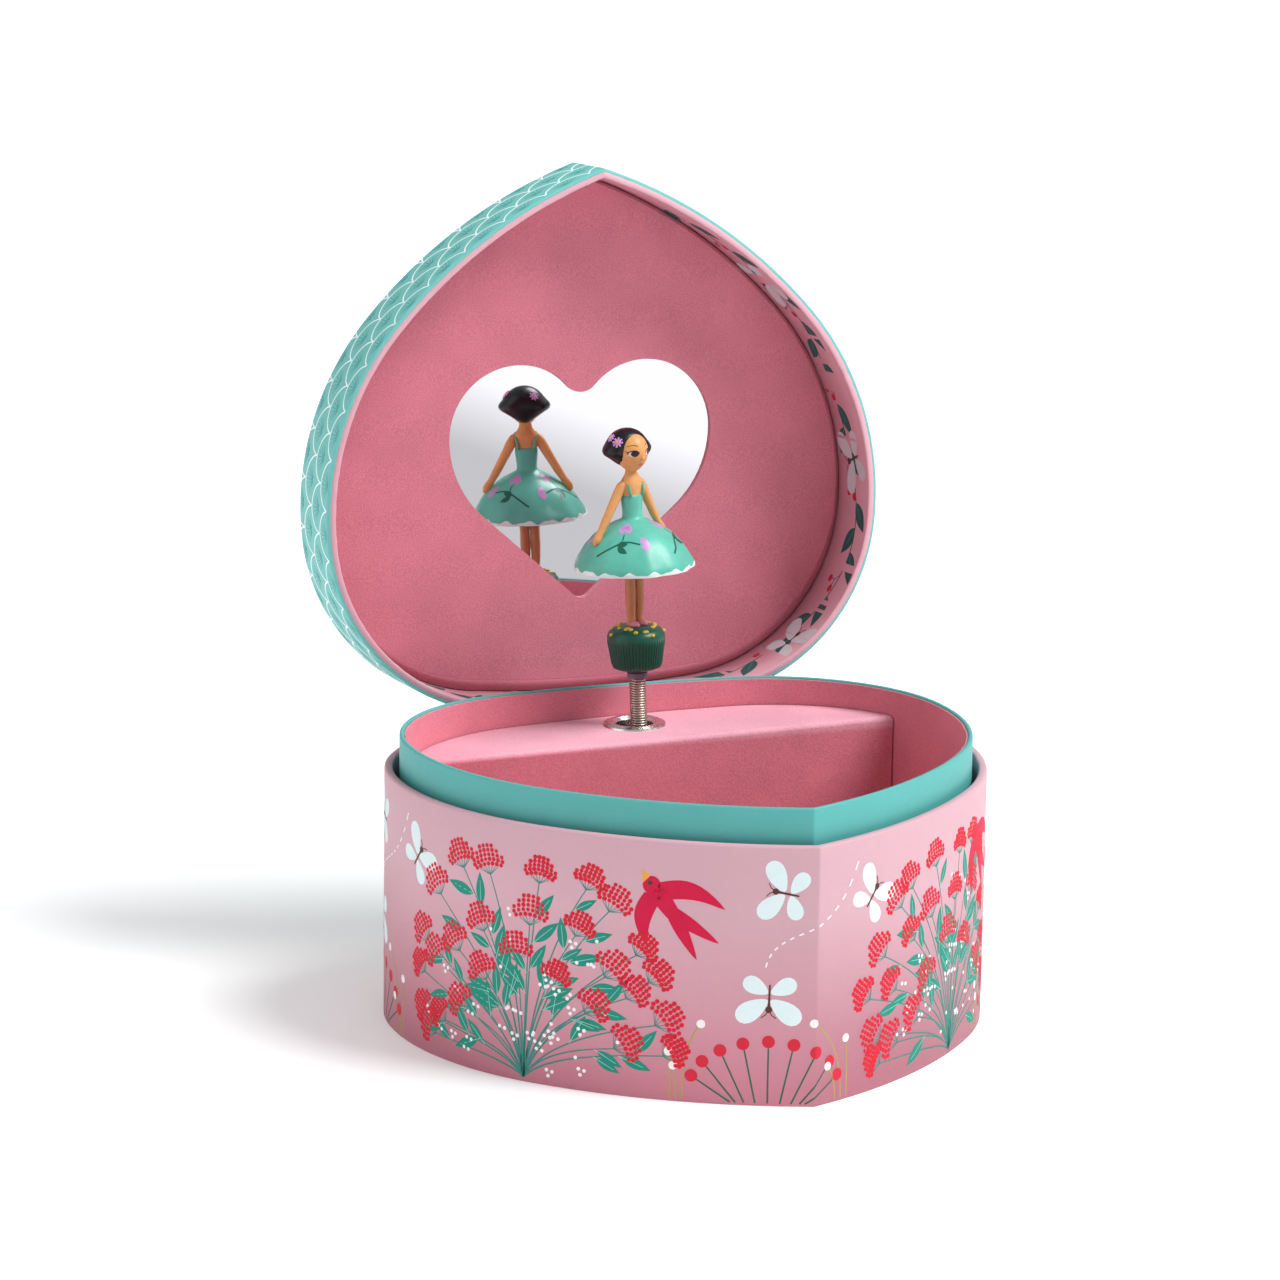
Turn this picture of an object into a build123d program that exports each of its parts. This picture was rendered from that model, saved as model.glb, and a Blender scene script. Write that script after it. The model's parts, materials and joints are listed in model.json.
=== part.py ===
from build123d import *
import math
import os

# Wind-up music box: a point-fronted paper-covered box with an open lid, a doll on a coil
# spring and an 18-note movement. Millimetres, +Z up, +X to the right, point towards -Y,
# key side towards +Y. The origin is the middle of the underside.

# ---------------------------------------------------------------- box outline
BOX_WIDTH = 155.0
BOX_DEPTH = 144.2
POINT_HALF_ANGLE = 71.1      # heading of the wall as it leaves the front point, from +Y
SHOULDER_HEADING = 41.0      # heading where the front arc meets the side arc
CORNER_HEADING = -5.2        # heading where the side arc meets the rear corner
BACK_HEADING = -84.3         # heading where the rear corner meets the back arc
CORNER_RADIUS = 51.1
POINT_ROUNDING = 1.2

# ---------------------------------------------------------------- boards and heights
WALL_HEIGHT = 65.3
WALL_BOARD = 2.2
BASE_BOARD = 2.0
COLLAR_GAP = 1.65            # air between the outer wall and the collar
COLLAR_BOARD = 1.2
COLLAR_RISE = 8.5            # collar above the outer wall
LINING = 0.5
LINING_DROP = 0.5            # lining stops this far under the collar's top edge
FLOOR_BOARD = 1.5

# ---------------------------------------------------------------- stage
STAGE_DEPTH = 33.8           # front face of the stage from the back of the box
STAGE_STAND = 0.15           # stage top above the outer wall, at the middle of the box
STAGE_FRONT = BOX_DEPTH / 2 - STAGE_DEPTH
STAGE_TOP = WALL_HEIGHT + STAGE_STAND
STAGE_SLOPE = 1.08           # degrees, the glued insert stands slightly higher at +X
STAGE_BOARD = 1.5
STAGE_GAP = 0.5              # air between the stage and the lining
STAGE_EDGE_ROUND = 1.3
LEDGE_DEPTH = 3.0
LEDGE_HEIGHT = 6.0

# ---------------------------------------------------------------- lid
LID_DEPTH = 24.4
LID_OPEN_ANGLE = 93.5
LID_RIM_GAP = 0.15           # paper turn-in between the closed lid and the wall
LID_TOP_BOARD = 1.4
LID_LINING = 0.25
PANEL_DEPTH = 19.75          # from the rim plane to the flocked face
PANEL_BOARD = 1.0
PANEL_TILT = 1.8             # degrees, deeper towards the hinge
PANEL_GAP = 0.6
PANEL_BACK_GAP = 2.6         # extra room at the hinge side of the panel
PACKING_MARGIN = 3.0         # packing stands this far inside the panel's edge
MIRROR_BOARD = 0.65
MIRROR_MARGIN = 3.5          # mirror hidden behind the edge of the heart
HEART_LOBE_X = 18.0          # centre of each round lobe, level with the middle of the box
HEART_LOBE_RADIUS = 19.2
HEART_FLANK_RADIUS = 28.0    # the fuller arc from the widest point down to the straight flank
HEART_SHARP_TIP = 45.6       # Y where the straight flanks would meet, in the closed lid
HEART_TIP_ROUND = 3.0
HEART_NOTCH_ROUND = 5.0

# ---------------------------------------------------------------- hinge strips
STRIP_WIDTH = 50.0
STRIP_THICKNESS = 0.3
STRIP_LEG = 13.0

# ---------------------------------------------------------------- movement
SPIN_X = 1.7                 # axis of the pinned cylinder and of the doll
SPIN_TO_BACK = 17.2          # from the spin axis to the back of the box
SPIN_Y = BOX_DEPTH / 2 - SPIN_TO_BACK
PLATE_THICKNESS = 1.8
PLATE_LEFT = 19.0            # bedplate reach from the spin axis towards -X
PLATE_RIGHT = 26.0
PLATE_BOTTOM = 7.5
PLATE_TOP = 60.0
PLATE_CORNER = 2.0
SCREW_MARGIN = 4.0           # screws from the edges of the bedplate
UPPER_SCREW_DROP = 20.0
SCREW_BOSS_RADIUS = 2.6
PACKING_THIN = 0.6           # packing behind the bedplate at its thin edge
BEARING_PLAY = 0.05

PINION_TEETH = 8
CROWN_TEETH = 36
PINION_PITCH_RADIUS = 2.05
PINION_TIP_RADIUS = 2.6
PINION_ROOT_RADIUS = 1.5
PINION_WIDTH = 2.4
CROWN_CLEARANCE = 0.15
BARREL_RADIUS = 10.6
BARREL_WALL = 0.6
BARREL_HUB_RADIUS = 2.6
ARBOR_RADIUS = 1.6
SPRING_STRIP = 0.35
SPRING_TURNS = 5

SHAFT_RADIUS = 1.0
CYLINDER_RADIUS = 6.0
CYLINDER_BOTTOM = 34.5
CYLINDER_LENGTH = 18.0
PIN_RADIUS = 0.2
PIN_REACH = 0.4
NOTES = 18
NOTE_PITCH = 0.95
COMB_THICKNESS = 0.9
COMB_SLOT = 0.25
COMB_GAP = 0.4               # comb tips from the surface of the cylinder
COMB_TOOTH_LENGTH = 11.5
COMB_BASE = 8.0

GEAR_MODULE = 0.5
CYLINDER_GEAR_TEETH = 24
GOVERNOR_PINION_TEETH = 8
WORM_WHEEL_TEETH = 20
WORM_WHEEL_RADIUS = 4.0
WORM_CORE_RADIUS = 0.75
WORM_THREAD_RADIUS = 1.15
WORM_ENGAGEMENT = 0.3
WORM_THREAD_WIDTH = 0.28
GEAR_THICKNESS = 1.2
BRACKET_THICKNESS = 1.3
FAN_SPAN = 8.4
FAN_HUB_LENGTH = 3.0

# ---------------------------------------------------------------- key and screws
KEY_STEM_LENGTH = 8.0
KEY_STEM_RADIUS = 2.6
KEY_WING_SPAN = 18.0
KEY_WING_HEIGHT = 11.0
KEY_WING_THICKNESS = 2.4
KEY_STANDOFF = 1.0
KEY_HOLE_RADIUS = 4.2
SCREW_RADIUS = 1.3
SCREW_HEAD_RADIUS = 2.7
SCREW_HEAD_HEIGHT = 1.5
WASHER_RADIUS = 4.0
WASHER_THICKNESS = 0.6

# ---------------------------------------------------------------- coil spring and doll
COIL_RADIUS = 2.25
COIL_WIRE = 0.55
SEAT_LENGTH = 3.0            # coils that grip the spindle
BEND_RISE = 1.55             # first bend of the coil spring above the stage
BEND_SPAN = 10.0             # distance from the first bend to the second
FOOT_RISE = 14.25            # underside of the pedestal above the stage
DOLL_LEAN_X = -2.3           # degrees, how the doll leans at rest
DOLL_LEAN_Y = 1.1
CAP_RADIUS = 2.7
CAP_HEIGHT = 1.4
PEDESTAL_HEIGHT = 12.8
PEDESTAL_RADIUS = 7.8
LEG_RADIUS = 1.75
LEG_HEIGHT = 15.5
SKIRT_RADIUS = 15.8
SKIRT_HEIGHT = 15.7
BODICE_HEIGHT = 13.0
HEAD_HEIGHT = 11.3
EYELET_RADIUS = 8.35
EYELET_HOLE_RADIUS = 5.0
EYELET_X = SPIN_X - 0.75     # the eyelet is punched a little off the spin axis
EYELET_Y = SPIN_Y + 1.15
EYELET_RISE = 0.9
EYELET_BARREL = 3.6

# ---------------------------------------------------------------- worked-out values
COLLAR_INSET = WALL_BOARD + COLLAR_GAP
LINING_INSET = COLLAR_INSET + COLLAR_BOARD
INNER_INSET = LINING_INSET + LINING
COLLAR_TOP = WALL_HEIGHT + COLLAR_RISE
FRONT_Y = -BOX_DEPTH / 2
BACK_Y = BOX_DEPTH / 2
LID_TOP = WALL_HEIGHT + LID_DEPTH
BEND_HEIGHT = STAGE_TOP + BEND_RISE
DOLL_FOOT = STAGE_TOP + FOOT_RISE

PLATE_BACK = BACK_Y - INNER_INSET - 1.0 - PACKING_THIN
PLATE_FRONT = PLATE_BACK - PLATE_THICKNESS
CROWN_TIP_Y = SPIN_Y + PINION_ROOT_RADIUS + CROWN_CLEARANCE
CROWN_ROOT_Y = SPIN_Y + PINION_TIP_RADIUS + CROWN_CLEARANCE
BARREL_BACK = PLATE_FRONT - 0.3
CROWN_RADIUS = PINION_PITCH_RADIUS * CROWN_TEETH / PINION_TEETH
BRACKET_TOP = CYLINDER_BOTTOM - 1.5
PINION_TOP = BRACKET_TOP - BRACKET_THICKNESS - 1.0
BARREL_Z = PINION_TOP - PINION_WIDTH / 2 - CROWN_RADIUS
CYLINDER_TOP = CYLINDER_BOTTOM + CYLINDER_LENGTH
GEAR_Z = CYLINDER_TOP + 0.7
GEAR_RADIUS = GEAR_MODULE * CYLINDER_GEAR_TEETH / 2
GOVERNOR_PINION_RADIUS = GEAR_MODULE * GOVERNOR_PINION_TEETH / 2
GOVERNOR_X = SPIN_X - GEAR_RADIUS - GOVERNOR_PINION_RADIUS - 0.1
WHEEL_Z = GEAR_Z + GEAR_THICKNESS + 1.0
WORM_X = GOVERNOR_X - WORM_WHEEL_RADIUS - WORM_THREAD_RADIUS + WORM_ENGAGEMENT
WORM_Z = WHEEL_Z + GEAR_THICKNESS / 2
WORM_PITCH = 2 * math.pi * (WORM_WHEEL_RADIUS - WORM_ENGAGEMENT / 2) / WORM_WHEEL_TEETH
TOP_BRACKET_Z = WHEEL_Z + GEAR_THICKNESS + 0.8
SEAT_TOP = BEND_HEIGHT
SEAT_BOTTOM = TOP_BRACKET_Z + BRACKET_THICKNESS + 0.4
COMB_LEFT = SPIN_X + CYLINDER_RADIUS + COMB_GAP
COMB_FRONT = SPIN_Y - 2.2
COMB_BACK = COMB_FRONT + COMB_THICKNESS
COMB_RIGHT = COMB_LEFT + COMB_TOOTH_LENGTH + COMB_BASE
COMB_MIDDLE = (CYLINDER_BOTTOM + CYLINDER_TOP) / 2
COMB_HALF = NOTES * NOTE_PITCH / 2
SCREW_PLACES = (
    (SPIN_X - PLATE_LEFT + SCREW_MARGIN, PLATE_BOTTOM + SCREW_MARGIN),
    (SPIN_X + PLATE_RIGHT - SCREW_MARGIN, PLATE_BOTTOM + SCREW_MARGIN),
    (SPIN_X - PLATE_LEFT + SCREW_MARGIN, PLATE_TOP - UPPER_SCREW_DROP),
)
WORM_FRONT_BEARING = SPIN_Y - 2 * WORM_PITCH - 1.0
FAN_HUB_BACK = WORM_FRONT_BEARING - BRACKET_THICKNESS - 0.3


def cos(degrees):
    return math.cos(math.radians(degrees))


def sin(degrees):
    return math.sin(math.radians(degrees))


# ---------------------------------------------------------------- outline of the box

def outline_radii():
    """Radii of the front, side and back arcs that give the box its width and depth."""
    half = BOX_WIDTH / 2
    front_x = cos(SHOULDER_HEADING) - cos(POINT_HALF_ANGLE)
    side_x = 1 - cos(SHOULDER_HEADING)
    past_x = 1 - cos(CORNER_HEADING)
    corner_x = cos(CORNER_HEADING) - cos(BACK_HEADING)
    back_x = cos(BACK_HEADING)
    front_y = sin(POINT_HALF_ANGLE) - sin(SHOULDER_HEADING)
    side_y = sin(SHOULDER_HEADING) - sin(CORNER_HEADING)
    corner_y = sin(CORNER_HEADING) - sin(BACK_HEADING)
    back_y = sin(BACK_HEADING) + 1
    fixed = half * front_y / front_x + CORNER_RADIUS * corner_y
    fixed += (half - CORNER_RADIUS * corner_x) * back_y / back_x
    slope = side_y - front_y * side_x / front_x - past_x * back_y / back_x
    side = (BOX_DEPTH - fixed) / slope
    front = (half - side * side_x) / front_x
    back = (half - side * past_x - CORNER_RADIUS * corner_x) / back_x
    return front, side, back


def heading(degrees):
    return (sin(degrees), cos(degrees))


def outline_face(inset, rounding=0.0):
    """Plan outline of the box, set in evenly by inset."""
    front, side, back = outline_radii()
    start = math.degrees(math.acos(front * cos(POINT_HALF_ANGLE) / (front - inset)))
    point_y = FRONT_Y + front * sin(POINT_HALF_ANGLE) - (front - inset) * sin(start)
    arcs = [JernArc((0, point_y), heading(start), front - inset, start - SHOULDER_HEADING)]
    turns = (
        (SHOULDER_HEADING, CORNER_HEADING, side),
        (CORNER_HEADING, BACK_HEADING, CORNER_RADIUS),
        (BACK_HEADING, -90.0, back),
    )
    for first, last, radius in turns:
        arcs.append(JernArc(arcs[-1] @ 1, heading(first), radius - inset, first - last))
    right = Wire(arcs)
    left = mirror(right, about=Plane.YZ)
    face = make_face(Wire([*right.edges(), *left.edges()]).edges())
    if rounding:
        point = face.vertices().sort_by(Axis.Y)[0]
        face = fillet(point, rounding)
    return face


def slab(inset, bottom, top, rounding=0.0):
    face = Pos(0, 0, bottom) * outline_face(inset, rounding)
    return extrude(face, amount=top - bottom, dir=(0, 0, 1))


def band(outer, inner, bottom, top, rounding=0.0):
    return slab(outer, bottom, top, rounding) - slab(inner, bottom - 1, top + 1)


def block(x0, x1, y0, y1, z0, z1):
    """Rectangular solid between two corners."""
    box = Box(x1 - x0, y1 - y0, z1 - z0)
    return Pos((x0 + x1) / 2, (y0 + y1) / 2, (z0 + z1) / 2) * box


def rod_y(x, z, y0, y1, radius):
    """Round rod along Y."""
    return Pos(x, (y0 + y1) / 2, z) * Rot(90, 0, 0) * Cylinder(radius, y1 - y0)


def rod_z(x, y, z0, z1, radius):
    """Round rod along Z."""
    return Pos(x, y, (z0 + z1) / 2) * Cylinder(radius, z1 - z0)


def turned(points):
    """Solid of revolution about Z from (radius, height) points."""
    face = Plane.XZ * make_face(Polyline(*points, close=True))
    return revolve(face, Axis.Z)


def turned_spline(bottom, top, points):
    """Solid of revolution whose side is a smooth line through (radius, height) points."""
    side = Spline(*points)
    cap = Polyline(points[-1], (0, top), (0, bottom), points[0])
    face = Plane.XZ * make_face(Wire([*side.edges(), *cap.edges()]).edges())
    return revolve(face, Axis.Z)


def back_holes(shape):
    """Bores for the winding arbor and the movement screws through the back."""
    shape -= rod_y(SPIN_X, BARREL_Z, BACK_Y - 16, BACK_Y + 2, KEY_HOLE_RADIUS)
    for x, z in SCREW_PLACES:
        shape -= rod_y(x, z, BACK_Y - 16, BACK_Y + 2, SCREW_RADIUS)
    return shape


# ---------------------------------------------------------------- base

def outer_wall():
    wall = band(0, WALL_BOARD, 0, WALL_HEIGHT, POINT_ROUNDING)
    return back_holes(wall)


def base_board():
    return slab(WALL_BOARD, 0, BASE_BOARD)


def collar():
    ring = band(COLLAR_INSET, LINING_INSET, BASE_BOARD, COLLAR_TOP, POINT_ROUNDING)
    return back_holes(ring)


def tray_lining():
    ring = band(LINING_INSET, INNER_INSET, BASE_BOARD, COLLAR_TOP - LINING_DROP)
    return back_holes(ring)


def tray_floor():
    floor = slab(INNER_INSET, BASE_BOARD, BASE_BOARD + FLOOR_BOARD)
    return floor & block(-BOX_WIDTH, BOX_WIDTH, FRONT_Y, STAGE_FRONT, 0, WALL_HEIGHT)


def below_stage(drop):
    """Everything under the sloping stage top, lowered by drop."""
    tall = 2 * WALL_HEIGHT
    cutter = Pos(0, 0, -tall / 2 - drop) * Box(2 * BOX_WIDTH, 2 * BOX_DEPTH, tall)
    return Pos(0, 0, STAGE_TOP) * Rot(0, -STAGE_SLOPE, 0) * cutter


def stage_cover():
    front = block(-BOX_WIDTH, BOX_WIDTH, STAGE_FRONT, BOX_DEPTH, 0, 2 * WALL_HEIGHT)
    behind = block(-BOX_WIDTH, BOX_WIDTH, STAGE_FRONT + STAGE_BOARD, BOX_DEPTH, 0, COLLAR_TOP)
    body = slab(INNER_INSET + STAGE_GAP, BASE_BOARD, COLLAR_TOP + 4) & front & below_stage(0)
    edge = body.edges().filter_by(lambda e: abs(e.center().Y - STAGE_FRONT) < 0.01)
    body = fillet(edge.sort_by(Axis.Z)[-1], STAGE_EDGE_ROUND)
    body -= behind & below_stage(STAGE_BOARD)
    hole = rod_z(EYELET_X, EYELET_Y, WALL_HEIGHT - 8, WALL_HEIGHT + 8, EYELET_HOLE_RADIUS + 0.8)
    return body - hole


def stage_ledge():
    """Battens on the back lining that carry the rear edge of the stage."""
    strip = band(INNER_INSET, INNER_INSET + LEDGE_DEPTH, STAGE_TOP - LEDGE_HEIGHT - 4, COLLAR_TOP)
    strip &= below_stage(STAGE_BOARD)
    left = block(-48, SPIN_X - PLATE_LEFT - 3, 0, BOX_DEPTH, 0, COLLAR_TOP)
    right = block(SPIN_X + PLATE_RIGHT + 3, 52, 0, BOX_DEPTH, 0, COLLAR_TOP)
    return Compound([*(strip & left).solids(), *(strip & right).solids()])


def eyelet():
    hole = EYELET_HOLE_RADIUS
    barrel = hole + 0.7
    lip = barrel + 1.2
    profile = (
        (hole, -EYELET_BARREL),
        (lip, -EYELET_BARREL),
        (lip, -EYELET_BARREL + 0.4),
        (barrel, -EYELET_BARREL + 0.6),
        (barrel, 0),
        (EYELET_RADIUS, 0),
        (EYELET_RADIUS - 0.2, EYELET_RISE * 0.5),
        (EYELET_RADIUS - 1.3, EYELET_RISE),
        (hole + 1.0, EYELET_RISE * 0.9),
        (hole, 0),
    )
    height = STAGE_TOP + EYELET_X * math.tan(math.radians(STAGE_SLOPE))
    return Pos(EYELET_X, EYELET_Y, height) * Rot(0, -STAGE_SLOPE, 0) * turned(profile)


def hinge_strip(outer, inner, lid_outer, lid_inner, filler):
    """Cloth strip: a leg on the box, a leg on the open lid and a fold along the hinge."""
    half = STRIP_WIDTH / 2
    box_zone = block(-half, half, 0, BOX_DEPTH, WALL_HEIGHT - STRIP_LEG, WALL_HEIGHT)
    lid_zone = block(-half, half, 0, BOX_DEPTH, WALL_HEIGHT + LID_RIM_GAP, WALL_HEIGHT + STRIP_LEG)
    box_leg = band(outer, inner, 0, WALL_HEIGHT) & box_zone
    lid_leg = band(lid_outer, lid_inner, WALL_HEIGHT, LID_TOP) & lid_zone
    fold = extrude(Plane.YZ * make_face(Polyline(*filler, close=True)), half, both=True)
    fold -= slab(COLLAR_INSET, 0, COLLAR_TOP)
    fold -= band(0, WALL_BOARD, 0, WALL_HEIGHT)
    fold -= opened(band(0, WALL_BOARD + LID_LINING, WALL_HEIGHT + LID_RIM_GAP, LID_TOP))
    return box_leg + opened(lid_leg) + fold


def hinge_strip_outer():
    t = STRIP_THICKNESS
    y, z = BACK_Y, WALL_HEIGHT
    filler = ((y - 1.4, z), (y + 0.2, z + 1.6), (y + 1.2, z - t), (y + t, z - 1.0), (y - 1.4, z - 1.0))
    return hinge_strip(-t, 0, -t, 0, filler)


def hinge_strip_inner():
    t = STRIP_THICKNESS
    y, z = BACK_Y - WALL_BOARD, WALL_HEIGHT
    lift = WALL_BOARD + LID_LINING
    filler = ((y - 1.4, z), (BACK_Y + 0.1, z + lift + 1.4), (BACK_Y + 0.8, z + lift + 1.4),
              (BACK_Y + 0.8, z + lift), (y + 0.6, z))
    lid_outer = WALL_BOARD + LID_LINING
    return hinge_strip(WALL_BOARD, WALL_BOARD + t, lid_outer, lid_outer + t, filler)


# ---------------------------------------------------------------- lid, drawn closed

def opened(shape):
    """Turn a lid piece from closed to its open rest."""
    hinge = Axis((0, BACK_Y, WALL_HEIGHT), (-1, 0, 0))
    return shape.rotate(hinge, LID_OPEN_ANGLE)


def lid_wall():
    return opened(band(0, WALL_BOARD, WALL_HEIGHT + LID_RIM_GAP, LID_TOP, POINT_ROUNDING))


def lid_top():
    return opened(slab(WALL_BOARD, LID_TOP - LID_TOP_BOARD, LID_TOP))


def lid_lining():
    lined = WALL_BOARD + LID_LINING
    return opened(band(WALL_BOARD, lined, WALL_HEIGHT + LID_RIM_GAP, LID_TOP - LID_TOP_BOARD))


def panel_plane(depth):
    """Half-space above the tilted panel face, depth further into the lid."""
    tall = 40.0
    cutter = Pos(0, 0, tall / 2 + depth) * Box(2 * BOX_WIDTH, 2 * BOX_DEPTH, tall)
    return Pos(0, 0, WALL_HEIGHT + PANEL_DEPTH) * Rot(PANEL_TILT, 0, 0) * cutter


def panel_outline(inset):
    """Panel plan: the box outline set in, and shorter on the hinge side."""
    tall = (WALL_HEIGHT, LID_TOP - LID_TOP_BOARD)
    whole = slab(inset, *tall)
    return whole & Pos(0, -PANEL_BACK_GAP, 0) * slab(inset, *tall)


def heart_face(grow=0.0):
    """Heart with round lobes, full flanks and rounded tip and notch."""
    widest = HEART_LOBE_X + HEART_LOBE_RADIUS
    notch = (0, -math.sqrt(HEART_LOBE_RADIUS ** 2 - HEART_LOBE_X ** 2))
    flank_x = widest - HEART_FLANK_RADIUS
    reach = math.hypot(flank_x, HEART_SHARP_TIP)
    spread = math.atan2(HEART_SHARP_TIP, -flank_x) - math.acos(HEART_FLANK_RADIUS / reach)

    def on_flank(angle):
        return flank_x + HEART_FLANK_RADIUS * math.cos(angle), HEART_FLANK_RADIUS * math.sin(angle)

    lobe = ThreePointArc(notch, (HEART_LOBE_X, -HEART_LOBE_RADIUS), (widest, 0))
    flank = ThreePointArc((widest, 0), on_flank(spread / 2), on_flank(spread))
    straight = Line(on_flank(spread), (0, HEART_SHARP_TIP))
    half = make_face(Wire([lobe, flank, straight, Line((0, HEART_SHARP_TIP), notch)]))
    heart = half + mirror(half, about=Plane.YZ)
    heart = Sketch() + heart.faces()
    tip = [v for v in heart.vertices() if abs(v.X) < 0.01 and v.Y > 0]
    heart = fillet(tip[0], HEART_TIP_ROUND)
    notch_corner = [v for v in heart.vertices() if abs(v.X) < 0.01 and v.Y < 0]
    heart = fillet(notch_corner[0], HEART_NOTCH_ROUND)
    if grow:
        heart = offset(heart, grow)
    return heart


def heart_bar(grow=0.0):
    return extrude(Pos(0, 0, WALL_HEIGHT) * heart_face(grow), LID_DEPTH)


def lid_panel():
    panel = panel_outline(WALL_BOARD + LID_LINING + PANEL_GAP)
    panel = panel & panel_plane(0) - panel_plane(PANEL_BOARD)
    return opened(panel - heart_bar())


def mirror_zone(depth):
    return heart_bar(MIRROR_MARGIN) & panel_plane(depth)


def mirror_plate():
    return opened(mirror_zone(PANEL_BOARD) - panel_plane(PANEL_BOARD + MIRROR_BOARD))


def panel_packing():
    """Foam sheet between the panel and the top board, with a window for the mirror."""
    sheet = panel_outline(WALL_BOARD + LID_LINING + PANEL_GAP + PACKING_MARGIN)
    sheet = sheet & panel_plane(PANEL_BOARD)
    return opened(sheet - heart_bar(MIRROR_MARGIN + 0.5))


# ---------------------------------------------------------------- movement frame

def movement_board():
    """Packing with a curved back that seats the flat bedplate on the back wall."""
    left, right = SPIN_X - PLATE_LEFT, SPIN_X + PLATE_RIGHT
    board = block(left, right, PLATE_BACK, BACK_Y, PLATE_BOTTOM, PLATE_TOP)
    board &= slab(INNER_INSET, 0, COLLAR_TOP)
    board -= cylinder_window(PLATE_BACK - 1, BACK_Y)
    return back_holes(board)


def cylinder_window(y0, y1):
    reach = CYLINDER_RADIUS + 1.4
    return block(SPIN_X - reach, SPIN_X + reach, y0, y1, CYLINDER_BOTTOM - 0.6, CYLINDER_TOP + 0.4)


def bedplate():
    left, right = SPIN_X - PLATE_LEFT, SPIN_X + PLATE_RIGHT
    plate = block(left, right, PLATE_FRONT, PLATE_BACK, PLATE_BOTTOM, PLATE_TOP)
    plate = fillet(plate.edges().filter_by(Axis.Y), PLATE_CORNER)
    plate -= cylinder_window(PLATE_FRONT - 1, PLATE_BACK + 1)
    anvil_left = COMB_LEFT + COMB_TOOTH_LENGTH
    plate += block(anvil_left, COMB_RIGHT, COMB_BACK, PLATE_FRONT,
                   COMB_MIDDLE - COMB_HALF, COMB_MIDDLE + COMB_HALF)
    post = block(SPIN_X - 3, SPIN_X + 3, SPIN_Y - 2.6, PLATE_FRONT,
                 BRACKET_TOP - BRACKET_THICKNESS, BRACKET_TOP)
    plate += fillet(post.edges().filter_by(Axis.Z).sort_by(Axis.Y)[:2], 1.5)
    plate -= rod_z(SPIN_X, SPIN_Y, 0, BRACKET_TOP + 1, SHAFT_RADIUS + BEARING_PLAY) & block(
        SPIN_X - 2, SPIN_X + 2, SPIN_Y - 2, SPIN_Y + 2, 0, COLLAR_TOP)
    plate -= rod_y(SPIN_X, BARREL_Z, 0, BACK_Y, ARBOR_RADIUS + BEARING_PLAY)
    for x, z in SCREW_PLACES:
        plate += rod_y(x, z, PLATE_FRONT - 2.5, PLATE_FRONT, SCREW_BOSS_RADIUS)
        plate -= rod_y(x, z, PLATE_FRONT - 1.5, BACK_Y, SCREW_RADIUS)
    for z in comb_screw_heights():
        plate -= rod_y(COMB_RIGHT - COMB_BASE / 2, z, COMB_BACK, COMB_BACK + 4.0, 0.9)
    return plate


def governor_frame():
    """Casting above the cylinder that bears the spindle, the governor wheel and the worm."""
    low, high = GEAR_Z - 0.4 - BRACKET_THICKNESS, TOP_BRACKET_Z
    x0, x1 = WORM_X - 2.6, SPIN_X + 3.0
    post_front = WORM_FRONT_BEARING - BRACKET_THICKNESS
    frame = block(x0, x1, SPIN_Y - 2.6, PLATE_FRONT, high, high + BRACKET_THICKNESS)
    frame += block(x0, WORM_X + 1.4, post_front, SPIN_Y, high, high + BRACKET_THICKNESS)
    frame += block(GOVERNOR_X - 2.0, SPIN_X - CYLINDER_RADIUS - 1.0, SPIN_Y - 2.0, PLATE_FRONT,
                   low, low + BRACKET_THICKNESS)
    frame += block(x0, x0 + 3.4, PLATE_FRONT - 1.6, PLATE_FRONT, low - 6, high)
    frame += block(x0, GOVERNOR_X, PLATE_FRONT - 1.6, PLATE_FRONT, low - 6, low + BRACKET_THICKNESS)
    frame += block(WORM_X - 1.4, WORM_X + 1.4, post_front, WORM_FRONT_BEARING, WORM_Z - 1.6, high)
    frame -= rod_z(SPIN_X, SPIN_Y, high - 1, high + 3, SHAFT_RADIUS + BEARING_PLAY)
    frame -= rod_z(GOVERNOR_X, SPIN_Y, low - 1, high + 3, 0.5 + BEARING_PLAY)
    frame -= rod_y(WORM_X, WORM_Z, post_front - 1, PLATE_FRONT - 0.8, 0.5 + BEARING_PLAY)
    return frame


# ---------------------------------------------------------------- barrel, key and arbor

def crown_tooth(angle):
    half = 0.22
    inner, outer = CROWN_RADIUS - PINION_WIDTH / 2 - 0.1, BARREL_RADIUS
    tooth = block(-half, half, CROWN_TIP_Y, CROWN_ROOT_Y + 0.1, inner, outer)
    return Pos(SPIN_X, 0, BARREL_Z) * Rot(0, angle, 0) * tooth


def barrel_drum():
    drum = rod_y(SPIN_X, BARREL_Z, CROWN_ROOT_Y, BARREL_BACK, BARREL_RADIUS)
    cavity = BARREL_RADIUS - BARREL_WALL - 0.8
    drum -= rod_y(SPIN_X, BARREL_Z, CROWN_ROOT_Y + 0.8, BARREL_BACK + 1, cavity)
    drum += rod_y(SPIN_X, BARREL_Z, CROWN_ROOT_Y - 0.6, CROWN_ROOT_Y, BARREL_HUB_RADIUS)
    pitch = 360.0 / CROWN_TEETH
    teeth = [crown_tooth((step + 0.5) * pitch) for step in range(CROWN_TEETH)]
    drum = drum.fuse(*[tooth.solid() for tooth in teeth])
    return drum - rod_y(SPIN_X, BARREL_Z, 0, BACK_Y, ARBOR_RADIUS + BEARING_PLAY)


def barrel_cover():
    cavity = BARREL_RADIUS - BARREL_WALL - 0.8
    cover = rod_y(SPIN_X, BARREL_Z, BARREL_BACK - 0.6, BARREL_BACK, cavity)
    return cover - rod_y(SPIN_X, BARREL_Z, 0, BACK_Y, ARBOR_RADIUS + BEARING_PLAY)


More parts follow.
